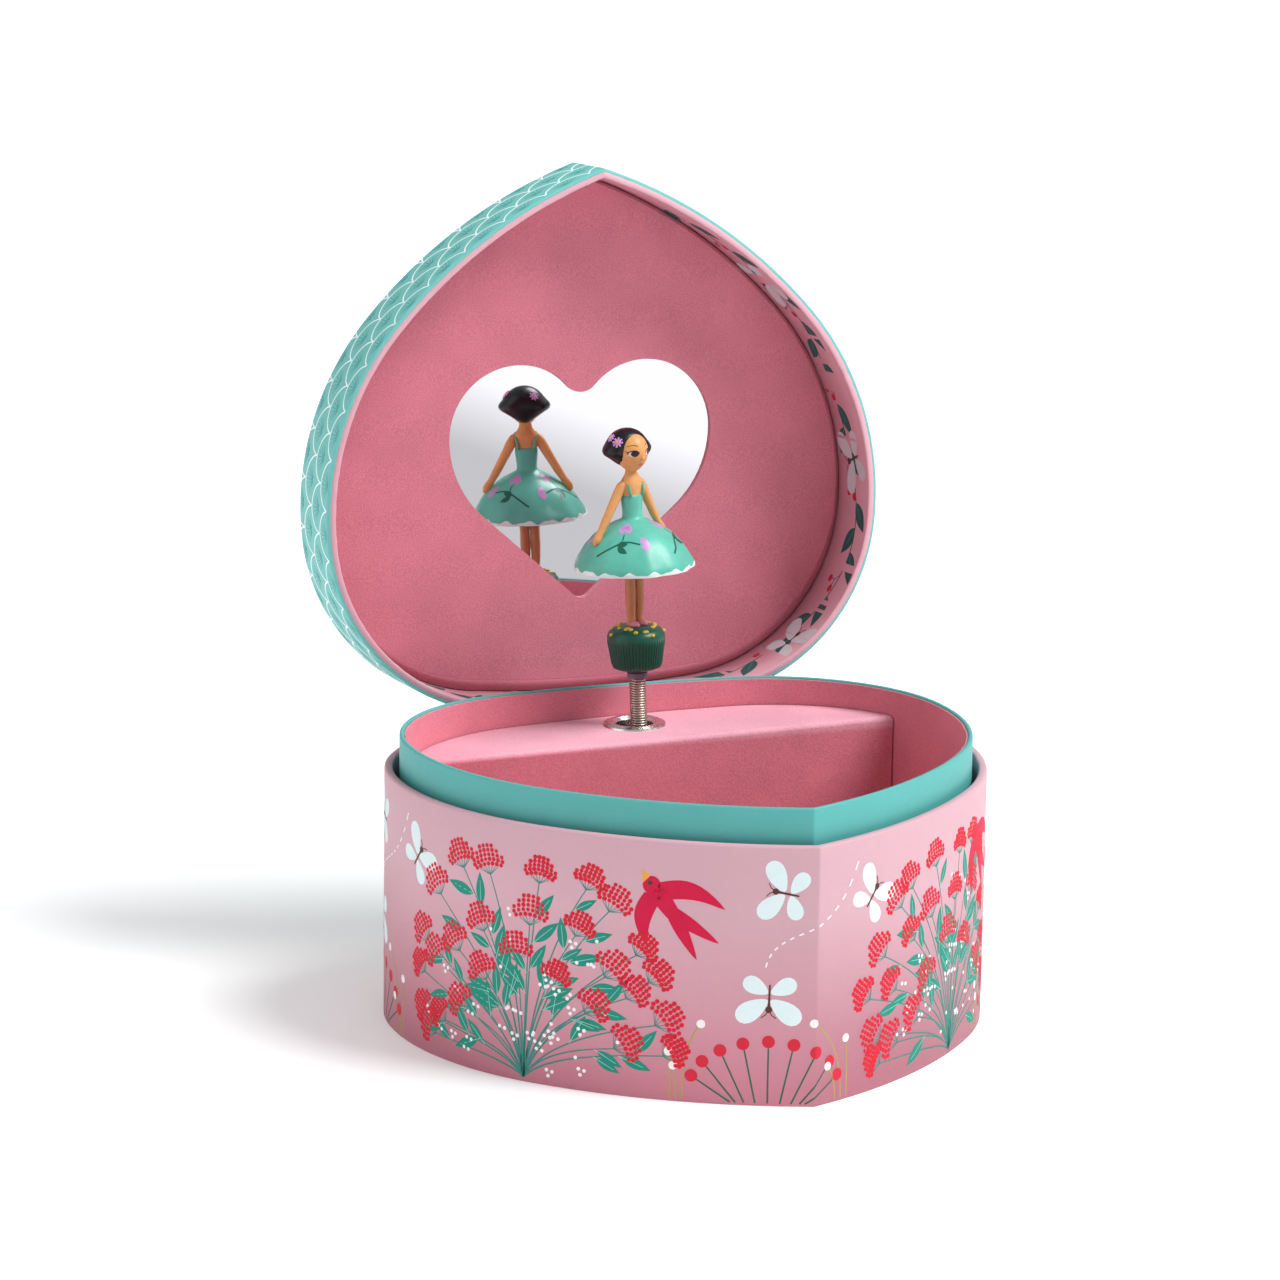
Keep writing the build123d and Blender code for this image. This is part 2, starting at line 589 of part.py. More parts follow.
def mainspring():
    """Flat spiral strip coiled against the inside of the barrel."""
    outer = BARREL_RADIUS - BARREL_WALL - 0.8
    pitch = (outer - BARREL_HUB_RADIUS - 1.2) / SPRING_TURNS
    strip = SPRING_STRIP

    def spiral(radius):
        arcs = []
        centre = 0.0
        side = 1
        for _ in range(2 * SPRING_TURNS):
            top = (0, radius) if side > 0 else (0, -radius)
            arcs.append((centre, radius, side))
            centre += side * pitch / 4
            radius -= pitch / 2
            side = -side
        return arcs

    pieces = []
    for centre, radius, side in spiral(outer - pitch / 4):
        ring = Circle(radius) - Circle(radius - strip)
        half = Pos(0, side * outer) * Rectangle(4 * outer, 2 * outer)
        pieces.append(Pos(-centre, 0) * (ring & half))
    flat = Sketch() + pieces
    depth = BARREL_BACK - CROWN_ROOT_Y - 2.0
    solid = extrude(flat, depth)
    return Pos(SPIN_X, BARREL_BACK - 0.8, BARREL_Z) * Rot(90, 0, 0) * solid


def winding_arbor():
    front = CROWN_ROOT_Y - 1.2
    arbor = rod_y(SPIN_X, BARREL_Z, front, BACK_Y + KEY_STEM_LENGTH, ARBOR_RADIUS)
    return arbor + rod_y(SPIN_X, BARREL_Z, front - 0.5, CROWN_ROOT_Y - 0.65, 2.2)


def winding_key():
    """Butterfly key screwed onto the arbor behind the box."""
    y0 = BACK_Y + KEY_STANDOFF
    y1 = y0 + KEY_STEM_LENGTH
    stem = rod_y(SPIN_X, BARREL_Z, y0, y1, KEY_STEM_RADIUS)
    lobe = KEY_WING_HEIGHT / 2
    offset_x = KEY_WING_SPAN / 2 - lobe
    wing = Pos(offset_x, 0) * Circle(lobe) - Pos(offset_x + 1.0, 0) * Circle(2.0)
    wing += mirror(wing, about=Plane.YZ)
    wing += Rectangle(2 * offset_x, 5.0)
    wing -= Pos(offset_x + 1.0, 0) * Circle(2.0) + Pos(-offset_x - 1.0, 0) * Circle(2.0)
    blade = extrude(wing, KEY_WING_THICKNESS / 2, both=True)
    middle = y0 + 4.0 + lobe
    key = stem + Pos(SPIN_X, middle, BARREL_Z) * blade
    bore = rod_y(SPIN_X, BARREL_Z, y0 - 1, BACK_Y + KEY_STEM_LENGTH, ARBOR_RADIUS)
    return key - bore


def clutch_spring():
    """Wrap spring around the arbor that lets it turn one way only."""
    radius, wire = ARBOR_RADIUS + 0.75, 0.3
    length = 3.0
    path = Helix(pitch=0.85, height=length, radius=radius)
    start = Plane(origin=path @ 0, z_dir=path % 0)
    coil = sweep(start * Circle(wire), path=path, is_frenet=True)
    return Pos(SPIN_X, BACK_Y - 2.0, BARREL_Z) * Rot(90, 0, 0) * coil


def movement_screws():
    screws = []
    seat = BACK_Y + WASHER_THICKNESS
    for x, z in SCREW_PLACES:
        drop = back_sagitta(x)
        shank = rod_y(x, z, PLATE_FRONT - 1.0, seat - drop, SCREW_RADIUS)
        head = rod_y(x, z, seat - drop, seat - drop + SCREW_HEAD_HEIGHT, SCREW_HEAD_RADIUS)
        slot = block(x - 3, x + 3, seat - drop + 0.8, BACK_Y + 9, z - 0.3, z + 0.3)
        screws.append((shank + head - slot).solid())
    return Compound(screws)


def back_sagitta(x):
    """How far the curved back stands in front of its middle at x, at a washer's outer edge."""
    back = outline_radii()[2]
    near = abs(x) - WASHER_RADIUS
    return back - math.sqrt(back * back - near * near)


def screw_washers():
    rings = []
    for x, z in SCREW_PLACES:
        y = BACK_Y - back_sagitta(x)
        ring = rod_y(x, z, y, y + WASHER_THICKNESS, WASHER_RADIUS)
        rings.append((ring - rod_y(x, z, y - 1, y + 2, SCREW_RADIUS)).solid())
    return Compound(rings)


# ---------------------------------------------------------------- gears and cylinder

def spur_gear(teeth, root, tip, thickness, tooth_width, tip_width, first=0.0):
    """Plain gear about Z, its first tooth at the given angle, lying on z = 0."""
    flat = Circle(root)
    tooth = make_face(Polyline((root * 0.7, -tooth_width / 2), (tip, -tip_width / 2),
                               (tip, tip_width / 2), (root * 0.7, tooth_width / 2), close=True))
    for step in range(teeth):
        flat += Rot(0, 0, first + step * 360.0 / teeth) * tooth
    return extrude(flat, thickness)


def cylinder_pinion():
    gear = spur_gear(PINION_TEETH, PINION_ROOT_RADIUS, PINION_TIP_RADIUS, PINION_WIDTH,
                     0.62, 0.3, first=90.0)
    gear -= Pos(0, 0, PINION_WIDTH / 2) * Cylinder(SHAFT_RADIUS, 3 * PINION_WIDTH)
    return Pos(SPIN_X, SPIN_Y, PINION_TOP - PINION_WIDTH) * gear


def cylinder_gear():
    gear = spur_gear(CYLINDER_GEAR_TEETH, GEAR_RADIUS - 0.6, GEAR_RADIUS + 0.35, GEAR_THICKNESS,
                     0.7, 0.25, first=180.0)
    gear -= Cylinder(SHAFT_RADIUS, 3 * GEAR_THICKNESS)
    return Pos(SPIN_X, SPIN_Y, GEAR_Z) * gear


def governor_wheel():
    """Small pinion and worm wheel on one arbor."""
    gap_angle = 180.0 / GOVERNOR_PINION_TEETH
    pinion = spur_gear(GOVERNOR_PINION_TEETH, GOVERNOR_PINION_RADIUS - 0.6,
                       GOVERNOR_PINION_RADIUS + 0.35, GEAR_THICKNESS + 0.4, 0.6, 0.25,
                       first=gap_angle)
    wheel_gap = 180.0 + 180.0 / WORM_WHEEL_TEETH
    wheel = spur_gear(WORM_WHEEL_TEETH, WORM_WHEEL_RADIUS - 0.7, WORM_WHEEL_RADIUS,
                      GEAR_THICKNESS, 0.5, 0.25, first=wheel_gap)
    low = GEAR_Z - 0.4 - BRACKET_THICKNESS
    body = rod_z(GOVERNOR_X, SPIN_Y, low, TOP_BRACKET_Z + BRACKET_THICKNESS, 0.5)
    body += Pos(GOVERNOR_X, SPIN_Y, GEAR_Z - 0.2) * pinion
    body += rod_z(GOVERNOR_X, SPIN_Y, GEAR_Z, WHEEL_Z, 1.0)
    return body + Pos(GOVERNOR_X, SPIN_Y, WHEEL_Z) * wheel


def governor_worm():
    """Endless screw along Y with one thread."""
    core = WORM_CORE_RADIUS
    half = 2.0 * WORM_PITCH
    path = Helix(pitch=WORM_PITCH, height=2 * half, radius=core)
    reach = WORM_THREAD_RADIUS - core
    section = Pos(core + reach / 2 - 0.1, 0) * Rectangle(reach + 0.2, WORM_THREAD_WIDTH)
    thread = sweep(Plane.XZ * section, path=path, is_frenet=True)
    worm = Cylinder(core, 2 * half + 1.2) + Pos(0, 0, -half) * thread
    worm = Pos(WORM_X, SPIN_Y, WORM_Z) * Rot(90, 0, 0) * worm
    return worm + rod_y(WORM_X, WORM_Z, FAN_HUB_BACK - FAN_HUB_LENGTH, PLATE_FRONT - 0.9, 0.5)


def governor_fan():
    """Air brake: a light two-winged vane on the front end of the worm."""
    y1 = FAN_HUB_BACK
    y0 = y1 - FAN_HUB_LENGTH
    hub = rod_y(WORM_X, WORM_Z, y0 - 0.6, y1, 1.0)
    blade = block(WORM_X - FAN_SPAN / 2, WORM_X + FAN_SPAN / 2, y0 - 0.6, y1 - 0.6,
                  WORM_Z - 0.2, WORM_Z + 0.2)
    return hub + blade - rod_y(WORM_X, WORM_Z, y0, y1 + 1, 0.5)


def cylinder():
    """Brass cylinder with the tune set out as pins, three or four to a note."""
    drum = rod_z(SPIN_X, SPIN_Y, CYLINDER_BOTTOM, CYLINDER_TOP, CYLINDER_RADIUS)
    pins = []
    for note in range(NOTES):
        z = COMB_MIDDLE - COMB_HALF + (note + 0.5) * NOTE_PITCH
        for beat in range(3):
            angle = 137.5 * note + 120.0 * beat + 17.0 * (note * beat % 5)
            pin = Pos(CYLINDER_RADIUS - 0.3, 0, 0) * Rot(0, 90, 0) * Cylinder(
                PIN_RADIUS, 2 * (PIN_REACH - 0.05) - 0.1)
            pins.append((Pos(SPIN_X, SPIN_Y, z) * Rot(0, 0, angle) * Pos(0.3, 0, 0) * pin).solid())
    drum = drum.fuse(*pins)
    return drum - rod_z(SPIN_X, SPIN_Y, 0, COLLAR_TOP, SHAFT_RADIUS)


def cylinder_arbor():
    return rod_z(SPIN_X, SPIN_Y, PINION_TOP - PINION_WIDTH, SEAT_BOTTOM + SEAT_LENGTH, SHAFT_RADIUS)


def spindle_plug():
    plug = rod_z(SPIN_X, SPIN_Y, SEAT_BOTTOM, SEAT_BOTTOM + SEAT_LENGTH, COIL_RADIUS - COIL_WIRE)
    return plug - rod_z(SPIN_X, SPIN_Y, 0, COLLAR_TOP, SHAFT_RADIUS)


def comb_screw_heights():
    return (COMB_MIDDLE - COMB_HALF / 2, COMB_MIDDLE + COMB_HALF / 2)


def comb():
    body = block(COMB_LEFT, COMB_RIGHT, COMB_FRONT, COMB_BACK,
                 COMB_MIDDLE - COMB_HALF, COMB_MIDDLE + COMB_HALF)
    for slot in range(1, NOTES):
        z = COMB_MIDDLE - COMB_HALF + slot * NOTE_PITCH
        body -= block(COMB_LEFT - 1, COMB_LEFT + COMB_TOOTH_LENGTH, COMB_FRONT - 1, COMB_BACK + 1,
                      z - COMB_SLOT / 2, z + COMB_SLOT / 2)
    for z in comb_screw_heights():
        body -= rod_y(COMB_RIGHT - COMB_BASE / 2, z, COMB_FRONT - 1, COMB_BACK + 1, 0.9)
    return body


def comb_screws():
    screws = []
    x = COMB_RIGHT - COMB_BASE / 2
    for z in comb_screw_heights():
        screw = rod_y(x, z, COMB_FRONT, COMB_BACK + 3.0, 0.9)
        screw += rod_y(x, z, COMB_FRONT - 1.2, COMB_FRONT, 1.9)
        slot = block(x - 3, x + 3, COMB_FRONT - 3, COMB_FRONT - 0.6, z - 0.25, z + 0.25)
        screws.append((screw - slot).solid())
    return Compound(screws)


# ---------------------------------------------------------------- coil spring and doll

def coil_tube(bottom, top, bore=COIL_RADIUS - COIL_WIRE):
    tube = rod_z(SPIN_X, SPIN_Y, bottom, top, COIL_RADIUS)
    return tube - rod_z(SPIN_X, SPIN_Y, bottom - 1, top + 1, bore)


def leaned(shape):
    """Tip a piece drawn on the spin axis by the doll's lean about the first bend."""
    centre = Pos(SPIN_X, SPIN_Y, BEND_HEIGHT)
    return centre * Rot(-DOLL_LEAN_Y, DOLL_LEAN_X, 0) * centre.inverse() * shape


def coil_spring_seat():
    return coil_tube(SEAT_BOTTOM, BEND_HEIGHT)


def coil_spring_lower():
    return leaned(coil_tube(BEND_HEIGHT + 0.1, BEND_HEIGHT + BEND_SPAN))


def coil_spring_upper():
    return leaned(coil_tube(BEND_HEIGHT + BEND_SPAN, DOLL_FOOT - CAP_HEIGHT))


def on_spring(shape):
    """Seat a doll piece, drawn from z = 0 at the pedestal's underside, on the spring."""
    return leaned(Pos(SPIN_X, SPIN_Y, DOLL_FOOT) * shape)


def spring_cap():
    points = ((0, -CAP_HEIGHT + 0.05), (CAP_RADIUS, -CAP_HEIGHT + 0.05), (CAP_RADIUS, 0), (0, 0))
    return on_spring(turned(points))


def pedestal():
    r, h = PEDESTAL_RADIUS, PEDESTAL_HEIGHT
    points = ((r * 0.74, 0), (r * 0.8, h * 0.07), (r * 0.93, h * 0.35), (r, h * 0.68),
              (r * 0.9, h * 0.88), (r * 0.62, h * 0.99))
    return on_spring(turned_spline(0, h, points))


def legs():
    limbs = []
    for side in (-1, 1):
        x = side * (LEG_RADIUS + 0.35)
        leg = Pos(x, 0, PEDESTAL_HEIGHT) * turned((
            (0, -0.2), (LEG_RADIUS * 0.72, -0.2), (LEG_RADIUS * 0.72, LEG_HEIGHT * 0.15),
            (LEG_RADIUS, LEG_HEIGHT * 0.55), (LEG_RADIUS, LEG_HEIGHT), (0, LEG_HEIGHT)))
        limbs.append(leg)
    bridge = Pos(0, 0, PEDESTAL_HEIGHT + LEG_HEIGHT * 0.75) * Box(2, LEG_RADIUS, LEG_HEIGHT * 0.5)
    body = limbs[0] + limbs[1] + bridge
    return on_spring(body) - pedestal()


def skirt_bottom():
    return PEDESTAL_HEIGHT + LEG_HEIGHT - 3.5


def skirt():
    r, h = SKIRT_RADIUS, SKIRT_HEIGHT
    z = skirt_bottom()
    points = ((r * 0.9, z), (r, z + h * 0.08), (r * 0.93, z + h * 0.28), (r * 0.72, z + h * 0.58),
              (r * 0.42, z + h * 0.84), (r * 0.17, z + h))
    return on_spring(turned_spline(z, z + h, points)) - legs()


def bodice():
    """Torso with its two arms, in one casting."""
    z = skirt_bottom() + SKIRT_HEIGHT
    torso = turned_spline(z, z + BODICE_HEIGHT, (
        (2.7, z), (2.4, z + 1.5), (3.1, z + 6.0), (3.4, z + 8.5), (1.5, z + 11.0), (1.35, z + 13.0)))
    body = torso
    for side in (-1, 1):
        body += limb((side * 3.0, 0, z + 8.6), (side * 6.1, -0.8, z - 0.4), 1.15, 0.95)
        body += limb((side * 6.1, -0.8, z - 0.4), (side * 8.7, -1.6, z - 4.6), 0.95, 0.8)
    return on_spring(body) - skirt()


def limb(start, end, first, last):
    """Tapered round limb with a ball at each end."""
    line = Edge.make_line(start, end)
    plane = Plane(origin=start, z_dir=line % 0)
    cone = plane * Pos(0, 0, line.length / 2) * Cone(first, last, line.length)
    return cone + Pos(*start) * Sphere(first) + Pos(*end) * Sphere(last)


def head():
    z = skirt_bottom() + SKIRT_HEIGHT + BODICE_HEIGHT
    hair = turned_spline(z, z + HEAD_HEIGHT, (
        (1.9, z), (3.8, z + 1.2), (6.8, z + 5.0), (6.4, z + 7.4), (3.6, z + 10.6), (1.0, z + 11.8)))
    return on_spring(hair)


PARTS = {
    "outer_wall": outer_wall,
    "base_board": base_board,
    "collar": collar,
    "tray_lining": tray_lining,
    "tray_floor": tray_floor,
    "stage_cover": stage_cover,
    "stage_ledge": stage_ledge,
    "eyelet": eyelet,
    "hinge_strip_outer": hinge_strip_outer,
    "hinge_strip_inner": hinge_strip_inner,
    "lid_wall": lid_wall,
    "lid_top": lid_top,
    "lid_lining": lid_lining,
    "lid_panel": lid_panel,
    "mirror": mirror_plate,
    "panel_packing": panel_packing,
    "movement_board": movement_board,
    "bedplate": bedplate,
    "governor_frame": governor_frame,
    "barrel_drum": barrel_drum,
    "barrel_cover": barrel_cover,
    "mainspring": mainspring,
    "winding_arbor": winding_arbor,
    "winding_key": winding_key,
    "clutch_spring": clutch_spring,
    "movement_screws": movement_screws,
    "screw_washers": screw_washers,
    "cylinder": cylinder,
    "cylinder_arbor": cylinder_arbor,
    "cylinder_pinion": cylinder_pinion,
    "cylinder_gear": cylinder_gear,
    "spindle_plug": spindle_plug,
    "governor_wheel": governor_wheel,
    "governor_worm": governor_worm,
    "governor_fan": governor_fan,
    "comb": comb,
    "comb_screws": comb_screws,
    "coil_spring_seat": coil_spring_seat,
    "coil_spring_lower": coil_spring_lower,
    "coil_spring_upper": coil_spring_upper,
    "spring_cap": spring_cap,
    "doll_pedestal": pedestal,
    "doll_legs": legs,
    "doll_skirt": skirt,
    "doll_bodice": bodice,
    "doll_head": head,
}

os.makedirs("parts", exist_ok=True)
for name, make in PARTS.items():
    export_step(make(), f"parts/{name}.step")
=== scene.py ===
"""Looks of a wind-up music box: printed paper box, flocked tray, mirror lid and turning doll."""
import json
import math
import random

import bmesh
import bpy
from bpy.props import FloatProperty, FloatVectorProperty, IntProperty, PointerProperty
from mathutils import Matrix, Vector
from mathutils.bvhtree import BVHTree


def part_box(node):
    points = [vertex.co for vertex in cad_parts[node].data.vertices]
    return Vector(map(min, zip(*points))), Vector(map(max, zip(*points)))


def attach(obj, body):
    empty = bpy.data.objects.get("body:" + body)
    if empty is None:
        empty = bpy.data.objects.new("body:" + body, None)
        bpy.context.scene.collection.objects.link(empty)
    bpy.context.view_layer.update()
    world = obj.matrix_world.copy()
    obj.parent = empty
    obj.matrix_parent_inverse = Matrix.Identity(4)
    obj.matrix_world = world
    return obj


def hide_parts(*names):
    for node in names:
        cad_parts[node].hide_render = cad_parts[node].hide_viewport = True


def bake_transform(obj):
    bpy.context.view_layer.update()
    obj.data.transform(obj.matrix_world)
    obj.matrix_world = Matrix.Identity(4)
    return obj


bl_info = {
    "name": "Wind-up music box",
    "version": (1, 0, 0),
    "blender": (4, 5, 0),
    "location": "3D View > Sidebar > Music box",
    "description": "Builds the printed box, the lid with its mirror and the doll around the frame",
    "category": "Object",
}

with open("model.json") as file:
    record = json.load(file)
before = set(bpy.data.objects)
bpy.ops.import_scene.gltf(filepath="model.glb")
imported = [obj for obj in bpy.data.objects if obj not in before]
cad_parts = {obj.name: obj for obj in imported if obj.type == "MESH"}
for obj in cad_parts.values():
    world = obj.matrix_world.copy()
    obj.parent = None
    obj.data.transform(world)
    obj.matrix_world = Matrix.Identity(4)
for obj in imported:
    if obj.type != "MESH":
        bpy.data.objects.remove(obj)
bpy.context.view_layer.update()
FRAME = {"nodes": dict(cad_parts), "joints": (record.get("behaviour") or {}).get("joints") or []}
MM = 0.001

# ------------------------------------------------------------------ sizes taken from the frame
WALL_LOW, WALL_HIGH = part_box("outer_wall")
LID_JOINT = next(j for j in FRAME["joints"] if j["name"] == "lid_hinge")
SPIN_JOINT = next(j for j in FRAME["joints"] if j["name"] == "doll_spin")
LOWER_JOINT = next(j for j in FRAME["joints"] if j["name"] == "spring_bend_lower")
HINGE = Vector(LID_JOINT["pos_m"])
OPEN_ANGLE = math.radians(LID_JOINT["range_deg"][1])
OPENED = Matrix.Translation(HINGE) @ Matrix.Rotation(-OPEN_ANGLE, 4, "X") @ Matrix.Translation(-HINGE)

WALL_TOP = WALL_HIGH.z
COLLAR_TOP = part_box("collar")[1].z
COLLAR_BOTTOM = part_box("collar")[0].z
BOARD = 2.2 * MM
COLLAR_INSET = 3.85 * MM
COLLAR_BOARD = 1.2 * MM
LINING = 0.5 * MM
LID_GAP = 0.15 * MM
LID_DEPTH = 24.4 * MM
LID_TOP_BOARD = 1.4 * MM
LID_LINING = 0.25 * MM
PANEL_DEPTH = 19.75 * MM
PANEL_TILT = math.radians(1.8)
TIP_ROUNDING = 1.2 * MM

# ------------------------------------------------------------------ plan of the box
HEADINGS = (71.1, 41.0, -5.2, -84.3, -90.0)
CORNER_RADIUS = 51.1 * MM
ARC_STEPS = (64, 72, 72, 26)
TIP_STEPS = 6


def along(degrees):
    """Outward direction of a wall that runs at this heading, from +Y towards +X."""
    angle = math.radians(degrees)
    return Vector((math.cos(angle), -math.sin(angle)))


def plan_arcs():
    """Centres and radii of the four arcs of the right half, from the front point to the back."""
    half = WALL_HIGH.x
    depth = 2 * HINGE.y
    n = [along(h) for h in HEADINGS]
    front_x, side_x = n[1].x - n[0].x, 1 - n[1].x
    rear_x, corner_x, back_x = 1 - n[2].x, n[2].x - n[3].x, n[3].x
    front_y, side_y = n[1].y - n[0].y, n[2].y - n[1].y
    corner_y, back_y = n[3].y - n[2].y, 1 - n[3].y
    fixed = half * front_y / front_x + CORNER_RADIUS * corner_y
    fixed += (half - CORNER_RADIUS * corner_x) * back_y / back_x
    slope = side_y - front_y * side_x / front_x - rear_x * back_y / back_x
    side = (depth - fixed) / slope
    front = (half - side * side_x) / front_x
    back = (half - side * rear_x - CORNER_RADIUS * corner_x) / back_x
    radii = (front, side, CORNER_RADIUS, back)
    centres = [Vector((0, -depth / 2)) - front * n[0]]
    for i in range(3):
        centres.append(centres[-1] + (radii[i] - radii[i + 1]) * n[i + 1])
    return list(zip(centres, radii))


ARCS = plan_arcs()


def half_plan(inset, tip=TIP_ROUNDING):
    """Points and outward directions of the right half of the plan, set in from the wall."""
    tip = max(tip - inset, 0.25 * MM)
    centre, radius = ARCS[0]
    reach = radius - inset - tip
    start = math.degrees(math.acos(-centre.x / reach))
    tip_centre = Vector((0, centre.y - math.sqrt(reach ** 2 - centre.x ** 2)))
    pieces = [(tip_centre, tip, 90.0, start, TIP_STEPS)]
    bounds = (start,) + HEADINGS[1:]
    for (middle, r), first, last, steps in zip(ARCS, bounds[:-1], bounds[1:], ARC_STEPS):
        pieces.append((middle, r - inset, first, last, steps))
    points = []
    for middle, r, first, last, steps in pieces:
        for k in range(steps):
            out = along(first + (last - first) * k / steps)
            points.append((middle + r * out, out))
    out = along(-90.0)
    points.append((ARCS[3][0] + (ARCS[3][1] - inset) * out, out))
    points[0] = (Vector((0, points[0][0].y)), points[0][1])
    return points


def whole_plan(inset, tip=TIP_ROUNDING):
    """The closed plan, from the front point round by +X and back by -X."""
    right = half_plan(inset, tip)
    left = [(Vector((-p.x, p.y)), Vector((-n.x, n.y))) for p, n in right[-2:0:-1]]
    return right + left


def arc_lengths(plan):
    """Distance round the plan at each point."""
    total, lengths = 0.0, [0.0]
    for (a, _), (b, _) in zip(plan, plan[1:]):
        total += (b - a).length
        lengths.append(total)
    return lengths


WALL_PLAN = half_plan(0.0)
WALL_RUN = arc_lengths(WALL_PLAN)


def on_wall(u, inset=0.0):
    """Plan point and outward direction at distance u round the wall, +X side positive."""
    if abs(u) > WALL_RUN[-1]:
        u -= math.copysign(2 * WALL_RUN[-1], u)
    run = min(abs(u), WALL_RUN[-1] * 0.9999)
    low, high = 0, len(WALL_RUN) - 1
    while high - low > 1:
        middle = (low + high) // 2
        low, high = (middle, high) if WALL_RUN[middle] <= run else (low, middle)
    share = (run - WALL_RUN[low]) / (WALL_RUN[high] - WALL_RUN[low])
    point = WALL_PLAN[low][0].lerp(WALL_PLAN[high][0], share)
    out = WALL_PLAN[low][1].lerp(WALL_PLAN[high][1], share).normalized()
    point = point - out * inset
    side = 1 if u >= 0 else -1
    return Vector((side * point.x, point.y)), Vector((side * out.x, out.y))


# ------------------------------------------------------------------ mesh helpers
def ray(angle):
    """Unit vector of the plane at an angle from +X."""
    return Vector((math.cos(angle), math.sin(angle)))


def bow(start, pull, end, steps):
    """Points of a smooth curve from start to end, drawn towards pull."""
    return [start.lerp(pull, k / steps).lerp(pull.lerp(end, k / steps), k / steps) for k in range(steps + 1)]


def ring_faces(rows, around, closed=False):
    """Quads between rows of points round a body; a closed one joins its last row to its first."""
    faces = []
    for row in range(rows if closed else rows - 1):
        low, high = row * around, (row + 1) % rows * around
        for k in range(around):
            after = (k + 1) % around
            faces.append((low + k, low + after, high + after, high + k))
    return faces


def new_mesh(name, vertices, faces, finish=None, smooth=True):
    """A mesh object at the origin with its faces pointing as given."""
    data = bpy.data.meshes.new(name)
    data.from_pydata([tuple(v) for v in vertices], [], faces)
    data.validate()
    for face in data.polygons:
        face.use_smooth = smooth
    obj = bpy.data.objects.new(name, data)
    bpy.context.scene.collection.objects.link(obj)
    if finish:
        data.materials.append(finish)
    return obj


def finish_piece(obj, body, slot, *nodes):
    """Ties a finished piece to its body and hides the frame nodes it stands for; the slot it is given is not
    used.
    """
    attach(obj, body)
    if nodes:
        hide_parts(*nodes)
    return obj


def evaluated(obj, name):
    """The object's mesh with its modifiers applied, as a new plain object."""
    graph = bpy.context.evaluated_depsgraph_get()
    graph.update()
    data = bpy.data.meshes.new_from_object(obj.evaluated_get(graph))
    data.name = name
    result = bpy.data.objects.new(name, data)
    bpy.context.scene.collection.objects.link(result)
    bpy.data.objects.remove(obj)
    return result


def outward(obj):
    """Merges doubles and points a closed shell's faces outwards."""
    shell = bmesh.new()
    shell.from_mesh(obj.data)
    bmesh.ops.remove_doubles(shell, verts=shell.verts, dist=1e-7)
    bmesh.ops.recalc_face_normals(shell, faces=shell.faces)
    shell.to_mesh(obj.data)
    shell.free()
    return obj


def rounded(points, radius, steps=3):
    """A closed profile with the listed corners rounded; a corner is (a, b, True)."""
    result = []
    count = len(points)
    for i, (a, b, soft) in enumerate(points):
        here = Vector((a, b))
        if not soft:
            result.append(here)
            continue
        before = Vector(points[i - 1][:2]) - here
        after = Vector(points[(i + 1) % count][:2]) - here
        size = min(radius, before.length * 0.49, after.length * 0.49)
        first, last = here + before.normalized() * size, here + after.normalized() * size
        result += bow(first, here, last, steps)
    return result


def crease_table(seed, count, depth, width):
    """Small folds of turned-in paper: (distance round the plan, depth, half width)."""
    draw = random.Random(seed)
    run = 2 * WALL_RUN[-1]
    return [(draw.uniform(0, run), depth * draw.uniform(0.4, 1.0), width * draw.uniform(0.6, 1.4))
            for _ in range(count)]


def swept_wall(name, profile, finish, creases=(), crease_above=None, place=None, base_tip=TIP_ROUNDING):
    """Sweeps a closed profile of (inset, height) round the plan, with paper folds near the rim."""
    rings = []
    for inset, z in profile:
        plan = whole_plan(inset, base_tip)
        run = arc_lengths(plan)
        ring = []
        for (point, out), s in zip(plan, run):
            push = 0.0
            if crease_above is not None and z > crease_above:
                push = sum(d * math.exp(-((s - c) / w) ** 2) for c, d, w in creases if abs(s - c) < 3 * w)
            ring.append(Vector((*(point - out * push), z)))
        rings.append(ring)
    vertices = [p for ring in rings for p in ring]
    if place:
        vertices = [place @ p for p in vertices]
    faces = ring_faces(len(rings), len(rings[0]), closed=True)
    return outward(new_mesh(name, vertices, faces, finish))


def tube(centres, radii, sides=12, flatten=1.0):
    """Vertices and faces of a closed tapered tube along points."""
    vertices = []
    last = len(centres) - 1
    for i, (centre, radius) in enumerate(zip(centres, radii)):
        forward = (centres[min(i + 1, last)] - centres[max(i - 1, 0)]).normalized()
        side = forward.cross(Vector((0, 1, 0.02))).normalized()
        up = side.cross(forward).normalized()
        for k in range(sides):
            a = 2 * math.pi * k / sides
            vertices.append(centre + radius * (math.cos(a) * side + math.sin(a) * flatten * up))
    faces = ring_faces(last + 1, sides)
    faces.append(tuple(range(sides))[::-1])
    faces.append(tuple(last * sides + k for k in range(sides)))
    return vertices, faces


def joined(name, parts, finish):
    """One mesh from several (vertices, faces) parts."""
    vertices, faces = [], []
    for more_vertices, more_faces in parts:
        base = len(vertices)
        vertices += more_vertices
        faces += [tuple(base + i for i in f) for f in more_faces]
    return outward(new_mesh(name, vertices, faces, finish))


